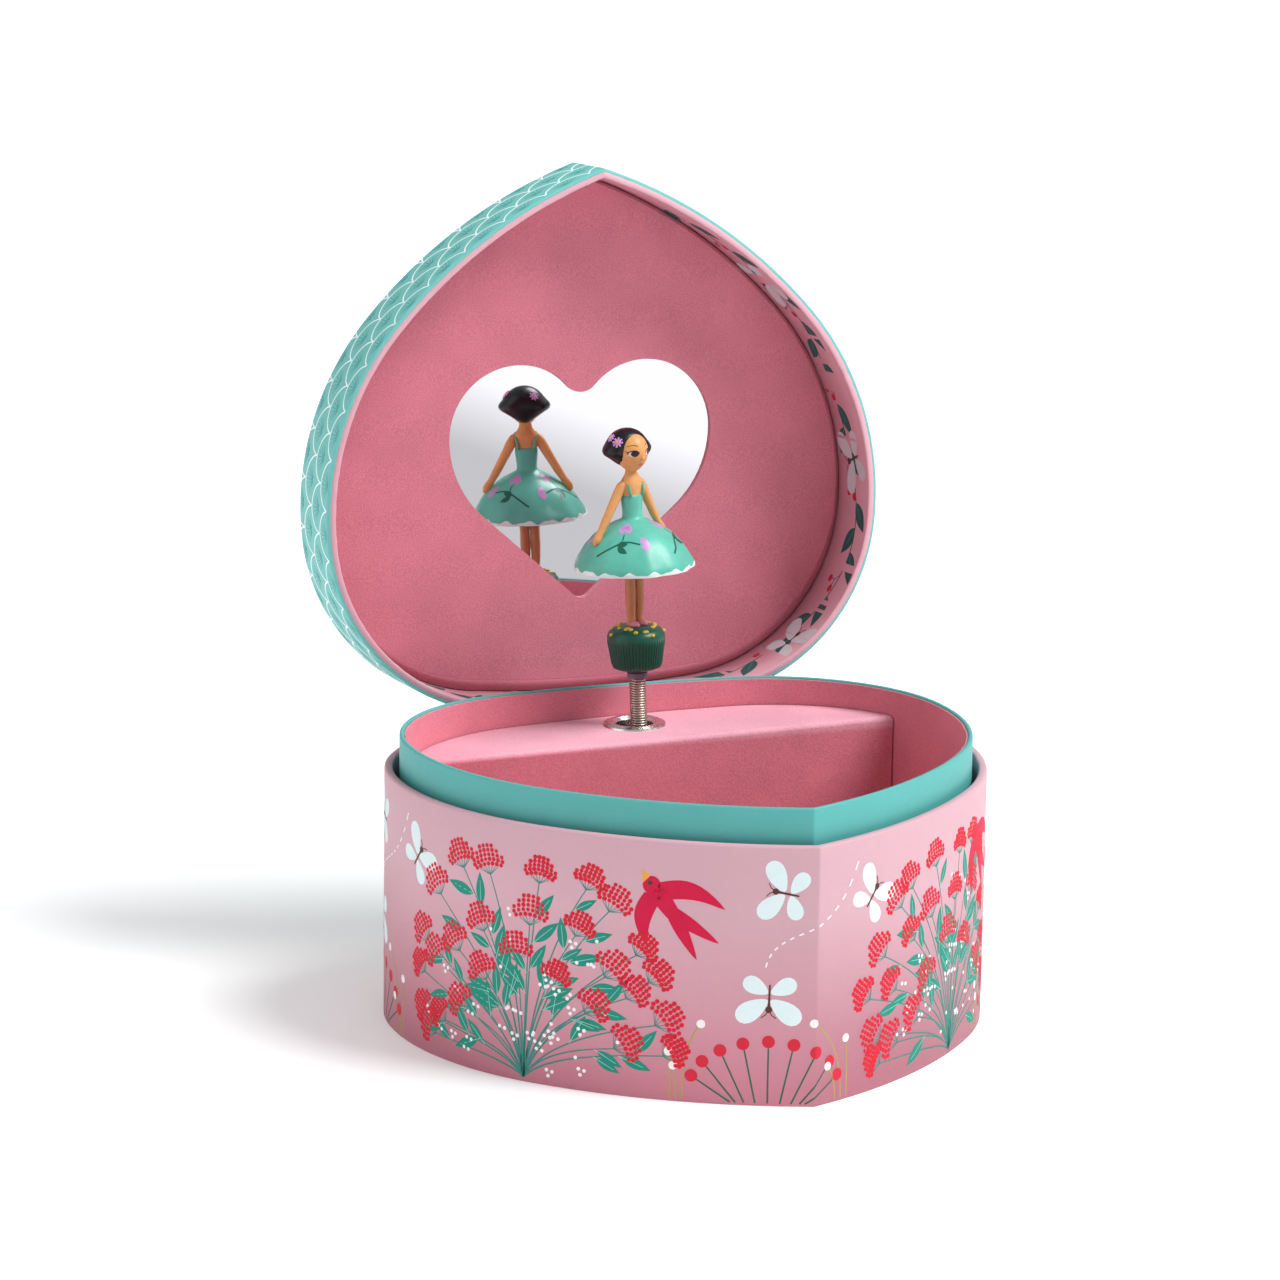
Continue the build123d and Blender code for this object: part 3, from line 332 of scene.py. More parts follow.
# ------------------------------------------------------------------ printed ink
class Drawing:
    """Flat print shapes in millimetres: u runs round the wall and v is the height."""

    def __init__(self):
        self.shapes = []

    def polygon(self, points):
        """One filled outline."""
        self.shapes.append([Vector(p) for p in points])

    def ribbon(self, points, width, end_width=None):
        """A line along the points that may taper to its end."""
        points = [Vector(p) for p in points]
        end_width = width if end_width is None else end_width
        last = len(points) - 1
        left, right = [], []
        for i, p in enumerate(points):
            run = (points[min(i + 1, last)] - points[max(i - 1, 0)]).normalized()
            half = (width + (end_width - width) * i / last) / 2
            side = Vector((-run.y, run.x)) * half
            left.append(p + side)
            right.append(p - side)
        for i in range(last):
            self.polygon((right[i], right[i + 1], left[i + 1], left[i]))

    def disc(self, centre, radius, sides=10, stretch=1.0, turn=0.0):
        """A dot, or an oval when it is stretched."""
        c, s = math.cos(turn), math.sin(turn)
        points = []
        for k in range(sides):
            a = 2 * math.pi * k / sides
            x, y = radius * math.cos(a) * stretch, radius * math.sin(a)
            points.append((centre[0] + x * c - y * s, centre[1] + x * s + y * c))
        self.polygon(points)

    def leaf(self, base, angle, length, width):
        """A pointed leaf from its base, in the direction of the angle."""
        run = ray(angle)
        side = Vector((-run.y, run.x))
        base = Vector(base)
        outline = []
        for turn, steps in ((-1, range(9)), (1, range(7, 0, -1))):
            for t in [k / 8 for k in steps]:
                half = turn * width / 2 * math.sin(math.pi * t ** 0.85)
                outline.append(base + run * length * t + side * half)
        self.polygon(outline)

    def flat_mesh(self, max_edge):
        """Triangulated drawing in metres with no edge longer than max_edge millimetres."""
        sheet = bmesh.new()
        for shape in self.shapes:
            area = sum(a.x * b.y - b.x * a.y for a, b in zip(shape, shape[1:] + shape[:1]))
            order = shape if area > 0 else shape[::-1]
            sheet.faces.new([sheet.verts.new((p.x * MM, p.y * MM, 0)) for p in order])
        bmesh.ops.triangulate(sheet, faces=sheet.faces)
        for _ in range(4):
            long_edges = [e for e in sheet.edges if e.calc_length() > max_edge * MM]
            if not long_edges:
                break
            bmesh.ops.subdivide_edges(sheet, edges=long_edges, cuts=1)
            bmesh.ops.triangulate(sheet, faces=[f for f in sheet.faces if len(f.verts) > 3])
        return sheet


INK_FOOT = -0.02 * MM        # how far a film of ink reaches into the paper under it
TIP_CUTS = [0.15 * k for k in range(-3, 4)]     # cuts, in millimetres, that let ink turn the front point


def film(name, sheet, place, low, high, finish, flip=False):
    """Lays a flat sheet on a surface as a closed film of ink from low to high above it."""
    if place in (place_on_wall, place_on_lid_wall, place_in_lid):
        for u in TIP_CUTS:
            bmesh.ops.bisect_plane(sheet, geom=sheet.verts[:] + sheet.edges[:] + sheet.faces[:],
                                   plane_co=(u * MM, 0, 0), plane_no=(1, 0, 0), dist=1e-7)
    sheet.verts.index_update()
    top = [place(v.co.x, v.co.y, high) for v in sheet.verts]
    bottom = [place(v.co.x, v.co.y, low) for v in sheet.verts]
    count = len(top)
    faces = []
    for f in sheet.faces:
        index = [v.index for v in f.verts]
        if flip:
            index.reverse()
        faces.append(tuple(index))
        faces.append(tuple(i + count for i in reversed(index)))
    for e in sheet.edges:
        if len(e.link_faces) != 1:
            continue
        loop = next(l for l in e.link_faces[0].loops if l.edge == e)
        a, b = loop.vert.index, loop.link_loop_next.vert.index
        if flip:
            a, b = b, a
        faces.append((b, a, a + count, b + count))
    sheet.free()
    return new_mesh(name, top + bottom, faces, finish, smooth=False)


def place_on_wall(u, v, lift):
    """Outside of the box wall, at height v."""
    point, out = on_wall(u)
    return Vector((*(point + out * lift), v))


def place_on_lid_wall(u, v, lift):
    """Outside of the lid's wall, v above its rim."""
    point, out = on_wall(u)
    return OPENED @ Vector((*(point + out * lift), WALL_TOP + LID_GAP + v))


def place_in_lid(u, v, lift):
    """Lining on the inside of the lid's wall, v above its rim."""
    point, out = on_wall(u, BOARD + LID_LINING)
    return OPENED @ Vector((*(point - out * lift), WALL_TOP + LID_GAP + v))


def place_on_lid_top(u, v, lift):
    """Outside of the lid's top board."""
    return OPENED @ Vector((u, v, WALL_TOP + LID_DEPTH + lift))


# ------------------------------------------------------------------ node helpers
def add_node(tree, kind, inputs=(), **properties):
    """A new node; each of its inputs is given a value or joined to another node's output."""
    made = tree.nodes.new(kind)
    for key, value in properties.items():
        setattr(made, key, value)
    for key, value in dict(inputs).items():
        if isinstance(value, bpy.types.NodeSocket):
            tree.links.new(value, made.inputs[key])
        else:
            made.inputs[key].default_value = value
    return made


def new_group(name, kind, inputs, outputs):
    """A node group with named inputs (label, type, value or None) and outputs (label, type)."""
    tree = bpy.data.node_groups.new(name, kind)
    for label, socket, value in inputs:
        made = tree.interface.new_socket(label, in_out="INPUT", socket_type="NodeSocket" + socket)
        if value is not None:
            made.default_value = value
    for label, socket in outputs:
        tree.interface.new_socket(label, in_out="OUTPUT", socket_type="NodeSocket" + socket)
    return tree, tree.nodes.new("NodeGroupInput").outputs


def painted(tree, geometry, material):
    """Ends a geometry nodes tree: real geometry with its material."""
    real = add_node(tree, "GeometryNodeRealizeInstances", {"Geometry": geometry})
    paint = add_node(tree, "GeometryNodeSetMaterial", {"Geometry": real.outputs["Geometry"],
                                                       "Material": material})
    add_node(tree, "NodeGroupOutput", {0: paint.outputs["Geometry"]})


def scatter_tree(name):
    """Geometry nodes: puts a copy of a shape on each point, with named size, spread and seed."""
    tree, given = new_group(name, "GeometryNodeTree", (
        ("Geometry", "Geometry", None), ("Shape", "Object", None), ("Size", "Float", 1.0),
        ("Size spread", "Float", 0.1), ("Turn spread", "Float", 0.0), ("Seed", "Int", 1),
        ("Finish", "Material", None)), (("Geometry", "Geometry"),))
    ends = [add_node(tree, "ShaderNodeMath", {0: given["Size"], 1: given["Size spread"]}, operation=kind)
            for kind in ("SUBTRACT", "ADD")]
    back = add_node(tree, "ShaderNodeMath", {0: given["Turn spread"], 1: -1.0}, operation="MULTIPLY")
    size = add_node(tree, "FunctionNodeRandomValue", {2: ends[0].outputs[0], 3: ends[1].outputs[0],
                                                      "Seed": given["Seed"]})
    turn = add_node(tree, "FunctionNodeRandomValue", {2: back.outputs[0], 3: given["Turn spread"],
                                                      "Seed": given["Seed"]})
    axis = add_node(tree, "ShaderNodeCombineXYZ", {"Z": turn.outputs[1]})
    shape = add_node(tree, "GeometryNodeObjectInfo", {"Object": given["Shape"]})
    points = add_node(tree, "GeometryNodeMeshToPoints", {"Mesh": given["Geometry"]})
    copies = add_node(tree, "GeometryNodeInstanceOnPoints", {
        "Points": points.outputs["Points"], "Instance": shape.outputs["Geometry"],
        "Scale": size.outputs[1], "Rotation": axis.outputs[0]})
    painted(tree, copies.outputs["Instances"], given["Finish"])
    return tree


def set_input(modifier, name, value):
    """Sets a geometry nodes input by its socket's identifier."""
    for item in modifier.node_group.interface.items_tree:
        if item.item_type == "SOCKET" and item.in_out == "INPUT" and item.name == name:
            modifier[item.identifier] = value
            return
    raise ValueError(f"the tree has no input named {name}")


def scattered(name, points, shape, finish, **values):
    """A plain mesh of copies of shape on the points."""
    holder = new_mesh(name + "_points", points, [])
    modifier = holder.modifiers.new("scatter", "NODES")
    modifier.node_group = bpy.data.node_groups.get("scatter copies") or scatter_tree("scatter copies")
    set_input(modifier, "Shape", shape)
    set_input(modifier, "Finish", finish)
    for key, value in values.items():
        set_input(modifier, key.replace("_", " ").capitalize(), value)
    result = evaluated(holder, name)
    bpy.data.objects.remove(shape)
    return result


def sheet_of(obj):
    """The flat mesh of an object as a bmesh; the object is removed."""
    sheet = bmesh.new()
    sheet.from_mesh(obj.data)
    bpy.data.objects.remove(obj)
    return sheet


def grain_group():
    """Shader group: fine and broad mottling of a colour, with matching roughness and relief."""
    name = "surface grain"
    if name in bpy.data.node_groups:
        return bpy.data.node_groups[name]
    tree, given = new_group(name, "ShaderNodeTree", (
        ("Color", "Color", (0.8, 0.8, 0.8, 1)), ("Shade", "Color", (0.4, 0.4, 0.4, 1)),
        ("Fine scale", "Float", 2000.0), ("Broad scale", "Float", 60.0), ("Fine mix", "Float", 0.3),
        ("Broad mix", "Float", 0.2), ("Roughness", "Float", 0.5), ("Roughness spread", "Float", 0.1),
        ("Relief", "Float", 0.1), ("Stretch", "Vector", (1, 1, 1))),
        (("Color", "Color"), ("Roughness", "Float"), ("Normal", "Vector")))
    place = add_node(tree, "ShaderNodeTexCoord")
    stretch = add_node(tree, "ShaderNodeVectorMath", {0: place.outputs["Object"], 1: given["Stretch"]},
                       operation="MULTIPLY")
    noises, spreads, shares = [], [], []
    for label, detail in (("Fine", 3.0), ("Broad", 2.0)):
        noise = add_node(tree, "ShaderNodeTexNoise", {"Vector": stretch.outputs[0], "Detail": detail,
                                                      "Scale": given[label + " scale"]})
        spread = add_node(tree, "ShaderNodeMapRange", {"Value": noise.outputs["Fac"], "From Min": 0.35,
                                                       "From Max": 0.65})
        share = add_node(tree, "ShaderNodeMath", {0: spread.outputs["Result"], 1: given[label + " mix"]},
                         operation="MULTIPLY")
        noises.append(noise.outputs["Fac"])
        spreads.append(spread.outputs["Result"])
        shares.append(share.outputs[0])
    total = add_node(tree, "ShaderNodeMath", {0: shares[0], 1: shares[1]}, operation="ADD", use_clamp=True)
    mix = add_node(tree, "ShaderNodeMix", {0: total.outputs[0], 6: given["Color"], 7: given["Shade"]},
                   data_type="RGBA")
    rough = add_node(tree, "ShaderNodeMath", {0: spreads[0], 1: given["Roughness spread"],
                                              2: given["Roughness"]},
                     operation="MULTIPLY_ADD", use_clamp=True)
    bump = add_node(tree, "ShaderNodeBump", {"Distance": 0.1 * MM, "Strength": given["Relief"],
                                             "Height": noises[0]})
    add_node(tree, "NodeGroupOutput", {"Color": mix.outputs[2], "Roughness": rough.outputs[0],
                                       "Normal": bump.outputs["Normal"]})
    return tree


def object_ramp(tree, axis, low, high, start=0.0, end=1.0):
    """A value that runs from start to end as the object coordinate goes from low to high."""
    place = add_node(tree, "ShaderNodeTexCoord")
    split = add_node(tree, "ShaderNodeSeparateXYZ", {0: place.outputs["Object"]})
    ramp = add_node(tree, "ShaderNodeMapRange", {"Value": split.outputs[axis], "From Min": low,
                                                 "From Max": high, "To Min": start, "To Max": end})
    return ramp.outputs["Result"]


def finish(name, color, shade=None, fine=2500, broad=60, fine_mix=0.2, broad_mix=0.15, rough=0.5,
           spread=0.1, relief=0.1, stretch=(1, 1, 1), fade=None, **sockets):
    """A material on the shared grain. fade = (low z, high z, low color) blends the colour by height."""
    made = bpy.data.materials.get(name)
    if made:
        return made
    made = bpy.data.materials.new(name)
    made.use_nodes = True
    tree = made.node_tree
    shader = tree.nodes["Principled BSDF"]
    grain = tree.nodes.new("ShaderNodeGroup")
    grain.node_tree = grain_group()
    shade = shade or tuple(c * 0.7 for c in color)
    values = {"Color": (*color, 1), "Shade": (*shade, 1), "Fine scale": fine, "Broad scale": broad,
              "Fine mix": fine_mix, "Broad mix": broad_mix, "Roughness": rough,
              "Roughness spread": spread, "Relief": relief, "Stretch": stretch}
    for label, value in values.items():
        grain.inputs[label].default_value = value
    color_socket = grain.outputs["Color"]
    if fade:
        low, high, low_color = fade
        blend = add_node(tree, "ShaderNodeMix", {
            0: object_ramp(tree, "Z", low, high), 7: (1, 1, 1, 1),
            6: (*[a / b for a, b in zip(low_color, color)], 1)}, data_type="RGBA")
        tint = add_node(tree, "ShaderNodeMix", {0: 1.0, 6: color_socket, 7: blend.outputs[2]},
                        data_type="RGBA", blend_type="MULTIPLY")
        color_socket = tint.outputs[2]
    for label, socket in (("Base Color", color_socket), ("Roughness", grain.outputs["Roughness"]),
                          ("Normal", grain.outputs["Normal"])):
        tree.links.new(socket, shader.inputs[label])
    for label, value in sockets.items():
        shader.inputs[label.replace("_", " ")].default_value = value
    return made


def paper(name, color, **more):
    """Smooth printed paper with a slight sheen."""
    return finish(name, color, fine=1500, broad=45, fine_mix=0.06, broad_mix=0.06, rough=0.5,
                  spread=0.08, relief=0.08, Specular_IOR_Level=0.35, **more)


def flock(name, color, **more):
    """Short dense pile, glued on."""
    return finish(name, color, shade=tuple(c * 0.55 for c in color), fine=2600, broad=55,
                  fine_mix=0.42, broad_mix=0.22, rough=0.9, spread=0.05, relief=0.9,
                  Sheen_Weight=0.35, Sheen_Roughness=0.4, Sheen_Tint=(1.0, 0.75, 0.8, 1), **more)


def metal(name, color, rough):
    """Plain metal with fine uneven polish."""
    return finish(name, color, fine=900, broad=80, fine_mix=0.25, broad_mix=0.2, rough=rough,
                  spread=0.15, relief=0.12, Metallic=1.0)


def ink(name, color):
    """Matt printing ink."""
    return finish(name, color, shade=tuple(c * 0.75 for c in color), fine=1200, broad=150,
                  fine_mix=0.1, broad_mix=0.12, rough=0.55, spread=0.1, relief=0.06,
                  Specular_IOR_Level=0.22)


def enamel(name, color, rough=0.28):
    """Hand-brushed paint on the doll and its pedestal."""
    return finish(name, color, shade=tuple(c * 0.6 for c in color), fine=700, broad=130,
                  fine_mix=0.1, broad_mix=0.28, rough=rough, spread=0.12, relief=0.1,
                  Coat_Weight=0.15, Coat_Roughness=0.2, Specular_IOR_Level=0.3)


def wear(node, material):
    """Gives a frame node its material."""
    data = FRAME["nodes"][node].data
    data.materials.clear()
    data.materials.append(material)
    for face in data.polygons:
        face.material_index = 0


def settings():
    """The sizes and colours that a user may change."""
    return bpy.context.scene.music_box


# ------------------------------------------------------------------ what a user would change
class MusicBoxColors(bpy.types.PropertyGroup):
    """Colours of the papers, the flock and the doll."""
    wall_pink: FloatVectorProperty(name="Wall pink", description="Upper part of the printed wall",
                                   subtype="COLOR", default=(0.62, 0.37, 0.43), min=0, max=1)
    wall_rose: FloatVectorProperty(name="Wall rose", description="Lower part of the printed wall",
                                   subtype="COLOR", default=(0.56, 0.21, 0.27), min=0, max=1)
    teal: FloatVectorProperty(name="Teal", description="Paper on the collar and the lid rim",
                              subtype="COLOR", default=(0.095, 0.42, 0.40), min=0, max=1)
    aqua: FloatVectorProperty(name="Aqua", description="Paper on the outside of the lid",
                              subtype="COLOR", default=(0.17, 0.53, 0.50), min=0, max=1)
    flock: FloatVectorProperty(name="Flock", description="Flocked lining of the tray and the lid",
                               subtype="COLOR", default=(0.82, 0.25, 0.33), min=0, max=1)
    dress: FloatVectorProperty(name="Dress", description="Enamel of the doll's dress",
                               subtype="COLOR", default=(0.12, 0.52, 0.41), min=0, max=1)
    skin: FloatVectorProperty(name="Skin", description="Enamel of the doll's skin",
                              subtype="COLOR", default=(0.80, 0.37, 0.13), min=0, max=1)


class MusicBoxSizes(bpy.types.PropertyGroup):
    """Sizes of the looks; the frame itself keeps its own."""
    rim_rounding: FloatProperty(name="Rim rounding", description="Rounding of the paper rims",
                                subtype="DISTANCE", unit="LENGTH", default=0.8 * MM, min=0.1 * MM)
    wire: FloatProperty(name="Spring wire", description="Wire diameter of the coil spring",
                        subtype="DISTANCE", unit="LENGTH", default=0.56 * MM, min=0.2 * MM)
    pitch: FloatProperty(name="Spring pitch", description="Distance between the spring's turns",
                         subtype="DISTANCE", unit="LENGTH", default=0.64 * MM, min=0.2 * MM)
    ink_lift: FloatProperty(name="Ink lift", description="Height of the printed ink on the paper",
                            subtype="DISTANCE", unit="LENGTH", default=0.03 * MM, min=0.005 * MM)
    scallop: FloatProperty(name="Scallop radius", description="Radius of the scallops on the lid",
                           subtype="DISTANCE", unit="LENGTH", default=6.6 * MM, min=1 * MM)
    bush_seed: IntProperty(name="Bush seed", description="Seed of the printed bushes", default=7, min=0)
    doll_turn: FloatProperty(name="Doll turn", description="Which way the doll faces at rest",
                             subtype="ANGLE", unit="ROTATION", default=math.radians(21.0))


# ------------------------------------------------------------------ box
class MUSICBOX_OT_walls(bpy.types.Operator):
    """Paper-covered outer wall with its turned-in rim."""
    bl_idname = "musicbox.walls"
    bl_label = "Outer wall"

    def execute(self, context):
        colors, sizes = settings().colors, settings().sizes
        pink = paper("printed pink paper", tuple(colors.wall_pink),
                     fade=(4 * MM, 46 * MM, tuple(colors.wall_rose)))
        profile = rounded([(0, 0, False), (0, WALL_TOP, True), (BOARD, WALL_TOP, True), (BOARD, 0, False)],
                          sizes.rim_rounding)
        folds = crease_table(11, 34, 0.05 * MM, 0.9 * MM)
        wall = swept_wall("paper_outer_wall", profile, pink, folds, WALL_TOP - 1.0 * MM)
        finish_piece(wall, "box", "pink_paper", "outer_wall")
        board = finish("raw board", (0.42, 0.37, 0.31), fine=900, fine_mix=0.4, broad_mix=0.3, rough=0.9,
                       relief=0.5)
        for node in ("base_board", "stage_ledge", "movement_board"):
            wear(node, board)
        return {"FINISHED"}


class MUSICBOX_OT_collar(bpy.types.Operator):
    """Teal collar and the flocked lining inside it."""
    bl_idname = "musicbox.collar"
    bl_label = "Collar and lining"

    def execute(self, context):
        colors, sizes = settings().colors, settings().sizes
        teal = paper("teal paper", tuple(colors.teal))
        inner = COLLAR_INSET + COLLAR_BOARD
        profile = rounded([(COLLAR_INSET, COLLAR_BOTTOM, False), (COLLAR_INSET, COLLAR_TOP, True),
                           (inner, COLLAR_TOP, True), (inner, COLLAR_BOTTOM, False)], sizes.rim_rounding)
        folds = crease_table(23, 46, 0.10 * MM, 1.1 * MM)
        collar = swept_wall("teal_collar", profile, teal, folds, COLLAR_TOP - 1.2 * MM,
                            base_tip=TIP_ROUNDING + COLLAR_INSET)
        finish_piece(collar, "box", "teal_paper", "collar")
        pile = flock("flocked lining", tuple(colors.flock))
        low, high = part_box("tray_lining")
        profile = rounded([(inner, low.z, False), (inner, high.z, True), (inner + LINING, high.z, True),
                           (inner + LINING, low.z, False)], 0.25 * MM)
        folds = crease_table(5, 30, 0.16 * MM, 1.6 * MM)
        lining = swept_wall("tray_lining_flock", profile, pile, folds, high.z - 12 * MM,
                            base_tip=TIP_ROUNDING + inner)
        finish_piece(lining, "box", "flock", "tray_lining")
        wear("tray_floor", pile)
        # the stage's top is painted paler than its front: painted light and sheen on the same flock, faded in
        # by height
        stage = flock("flocked stage with painted top light", tuple(min(1, c * k) for c, k in zip(colors.flock, (1.12, 1.75, 1.65))),
                      fade=(WALL_TOP - 2.0 * MM, WALL_TOP - 0.6 * MM, tuple(colors.flock)))
        wear("stage_cover", stage)
        return {"FINISHED"}


def umbel(berries, stems, end, direction, size):
    """A domed head of berries on a spray of short stalks."""
    run = ray(direction)
    side = Vector((run.y, -run.x))
    for k in range(-3, 4):
        tip = end + (run * 2.9 + side * k * 1.45) * size
        stems.ribbon((end, end.lerp(tip, 0.5) + side * k * 0.12, tip), 0.2, 0.14)
    for row, count in enumerate((7, 8, 8, 6, 4)):
        for k in range(count):
            x = (k - (count - 1) / 2) * 1.42
            y = 3.0 + row * 1.25 - 0.05 * x * x
            berries.append(end + (run * y + side * x) * size)


BUSH_ROWS = ((14, 55.0, 84, 0.0), (9, 41.0, 74, 0.5), (5, 28.0, 56, 0.2))   # stems, reach, degrees, shift


def bush(root, seed, berries, stems, leaves, ribs, whites):
    """A fan of stems with berry heads, leaves and small white flowers."""
    draw = random.Random(seed)
    root = Vector((root, 1.2))
    for count, reach_of, spread, phase in BUSH_ROWS:
        for k in range(count):
            lean = math.radians(-spread + 2 * spread * (k + phase * 0.6) / (count - 0.4))
            lean += math.radians(draw.uniform(-3.5, 3.5))
            reach = reach_of * (1 - 0.36 * (abs(lean) / 1.4) ** 1.8) + draw.uniform(-4, 1.5)
            end = root + reach * Vector((math.sin(lean), math.cos(lean)))
            end.y = min(max(end.y, 6.0), 51.0)
            knee = root + Vector((0.22 * reach * math.sin(lean), 0.52 * reach * math.cos(lean) + 3))
            path = bow(root, knee, end, 14)
            stems.ribbon(path, 0.5, 0.28)
            run = path[-1] - path[-3]
            heading = math.atan2(run.y, run.x)
            heading += (math.pi / 2 - heading) * 0.3
            umbel(berries, stems, path[-1], heading, draw.uniform(0.78, 0.98))
            for step in (3, 5, 7, 9, 11, 12):
                if step * reach / 14 < 16 or draw.random() < 0.5:
                    continue
                turn = 1 if (step + k) % 2 else -1
                run = path[step + 1] - path[step]
                angle = math.atan2(run.y, run.x) + turn * draw.uniform(0.45, 0.8)
                length = draw.uniform(6.5, 9.5)
                base = path[step] + 0.8 * ray(angle)
                tip = base + length * ray(angle)
                if tip.y < 2.0 or base.y < 1.5:
                    continue
                leaves.leaf(base, angle, length, length * 0.33)
                ribs.ribbon((path[step], base.lerp(tip, 0.75)), 0.2, 0.12)
    for _ in range(46):
        angle, reach = draw.uniform(0.12, math.pi - 0.12), draw.uniform(9, 46)
        middle = root + reach * Vector((math.cos(angle) * 0.75, math.sin(angle)))
        for turn in (0.3, 2.4, 4.5)[: draw.randint(1, 3)]:
            whites.disc(middle + 0.9 * ray(turn), 0.5, 8)


def butterfly(wings, dark, middle, heading, size=1.0):
    """Four petal-shaped wings, a thin body and two feelers."""
    middle = Vector(middle)
    run = ray(heading)
    side = Vector((-run.y, run.x))
    for turn in (1, -1):
        for lean, reach, width, lift in ((0.95, 8.4, 6.0, 0.7), (2.05, 6.3, 5.0, -0.9)):
            long = ray(heading + turn * lean)
            wide = Vector((-long.y, long.x))
            base = middle + (run * lift + side * turn * 0.3) * size
            outline = []
            for k in range(18):
                a = 2 * math.pi * k / 18
                t = 0.5 - 0.5 * math.cos(a)
                outline.append(base + (long * reach * t + wide * width / 2 * math.sin(a) * (0.35 + 0.65 * t)
                                       * (1.25 - 0.25 * t)) * size)
            wings.polygon(outline)
        feeler = [middle + (run * 3.0) * size, middle + (run * 4.2 + side * turn * 0.7) * size,
                  middle + (run * 4.9 + side * turn * 1.7) * size]
        dark.ribbon(feeler, 0.22)
    dark.ribbon((middle - run * 2.9 * size, middle + run * 2.8 * size), 0.4, 0.62)
    dark.disc(middle + run * 2.9 * size, 0.8 * size, 12)


def blade(drawing, base, tip, bend, width):
    """A crescent feather shape from base to tip."""
    base, tip = Vector(base), Vector(tip)
    run = tip - base
    side = Vector((-run.y, run.x)).normalized()
    upper, lower = [], []
    for k in range(11):
        t = k / 10
        spine = base + run * t + side * bend * math.sin(math.pi * t)
        half = width / 2 * (1 - t) ** 0.6 * (0.75 + 0.25 * math.sin(math.pi * t))
        upper.append(spine + side * half)
        lower.append(spine - side * half)
    drawing.polygon(lower + upper[::-1])


def small_bird(body, beak, eye, middle):
    """A swallow seen from the side: round head, two wings and a forked tail."""
    middle = Vector(middle)
    head = middle + Vector((-6.2, 7.0))
    body.disc(head, 2.3, 18)
    blade(body, head + Vector((0.6, -0.6)), middle + Vector((3.5, -5.5)), 0.0, 5.6)
    blade(body, head + Vector((1.2, -1.6)), middle + Vector((12.0, 2.0)), 2.4, 6.4)
    blade(body, head + Vector((0.6, -2.2)), middle + Vector((-7.2, -8.5)), -2.0, 6.4)
    for end in ((5.2, -11.0), (10.6, -6.6)):
        blade(body, middle + Vector((-1.0, 0.5)), middle + Vector(end), 0.0, 4.4)
    beak.polygon((head + Vector((-2.3, 0.3)), head + Vector((-0.4, 2.2)), head + Vector((-2.4, 3.8))))
    eye.disc(head + Vector((-0.4, 0.5)), 0.62, 12)


def pin_flowers(middle, deep, dots, olive, whites):
    """A low fan of red pins, with white-tipped grass bending away at both ends."""
    for k in range(9):
        swing = math.radians(-74 + 148 * k / 8)
        foot = Vector((middle + 9.5 * math.sin(swing), 0.6))
        top = Vector((middle + 19.5 * math.sin(swing), 3.2 + 13.0 * math.cos(swing)))
        deep.ribbon((foot, foot.lerp(top, 0.5), top), 0.45, 0.38)
        dots.disc(top, 1.6, 16)
    for turn, (base, height, sweep) in ((-1, (21, 20, -4.5)), (-1, (24, 12.5, 0.5)),
                                        (-1, (22.5, 9, 0.8)), (1, (20, 21, -9)),
                                        (1, (22, 15.5, -0.5)), (1, (18, 9.5, -2.5))):
        foot = Vector((middle + turn * base, 0.6))
        top = Vector((foot.x + turn * sweep, height))
        olive.ribbon(bow(foot, Vector((foot.x, height * 0.75)), top, 8), 0.32)
        whites.disc(top, 1.1, 12)


def flight(shift, bird, beak, dark, wings, whites):
    """A bird, three butterflies and the dashed path that one of them has flown."""
    small_bird(bird, beak, dark, (-34.5 + shift, 47.0))
    for (u, v), heading, size in (((-7.6, 53.5), 2.95, 1.0), ((-11.5, 27.5), -1.6, 1.08),
                                  ((18.5, 49.5), 0.9, 1.0)):
        butterfly(wings, dark, (u + shift, v), heading, size)
    trail = [Vector((-12.5 + shift, 35.0)), Vector((-10 + shift, 47)), Vector((7 + shift, 40)),
             Vector((14 + shift, 62))]
    for k in range(0, 26, 2):
        pair = []
        for t in (k / 26, (k + 0.95) / 26):
            a, b, c = (trail[i].lerp(trail[i + 1], t) for i in range(3))
            pair.append(a.lerp(b, t).lerp(b.lerp(c, t), t))
        whites.ribbon(pair, 0.38)


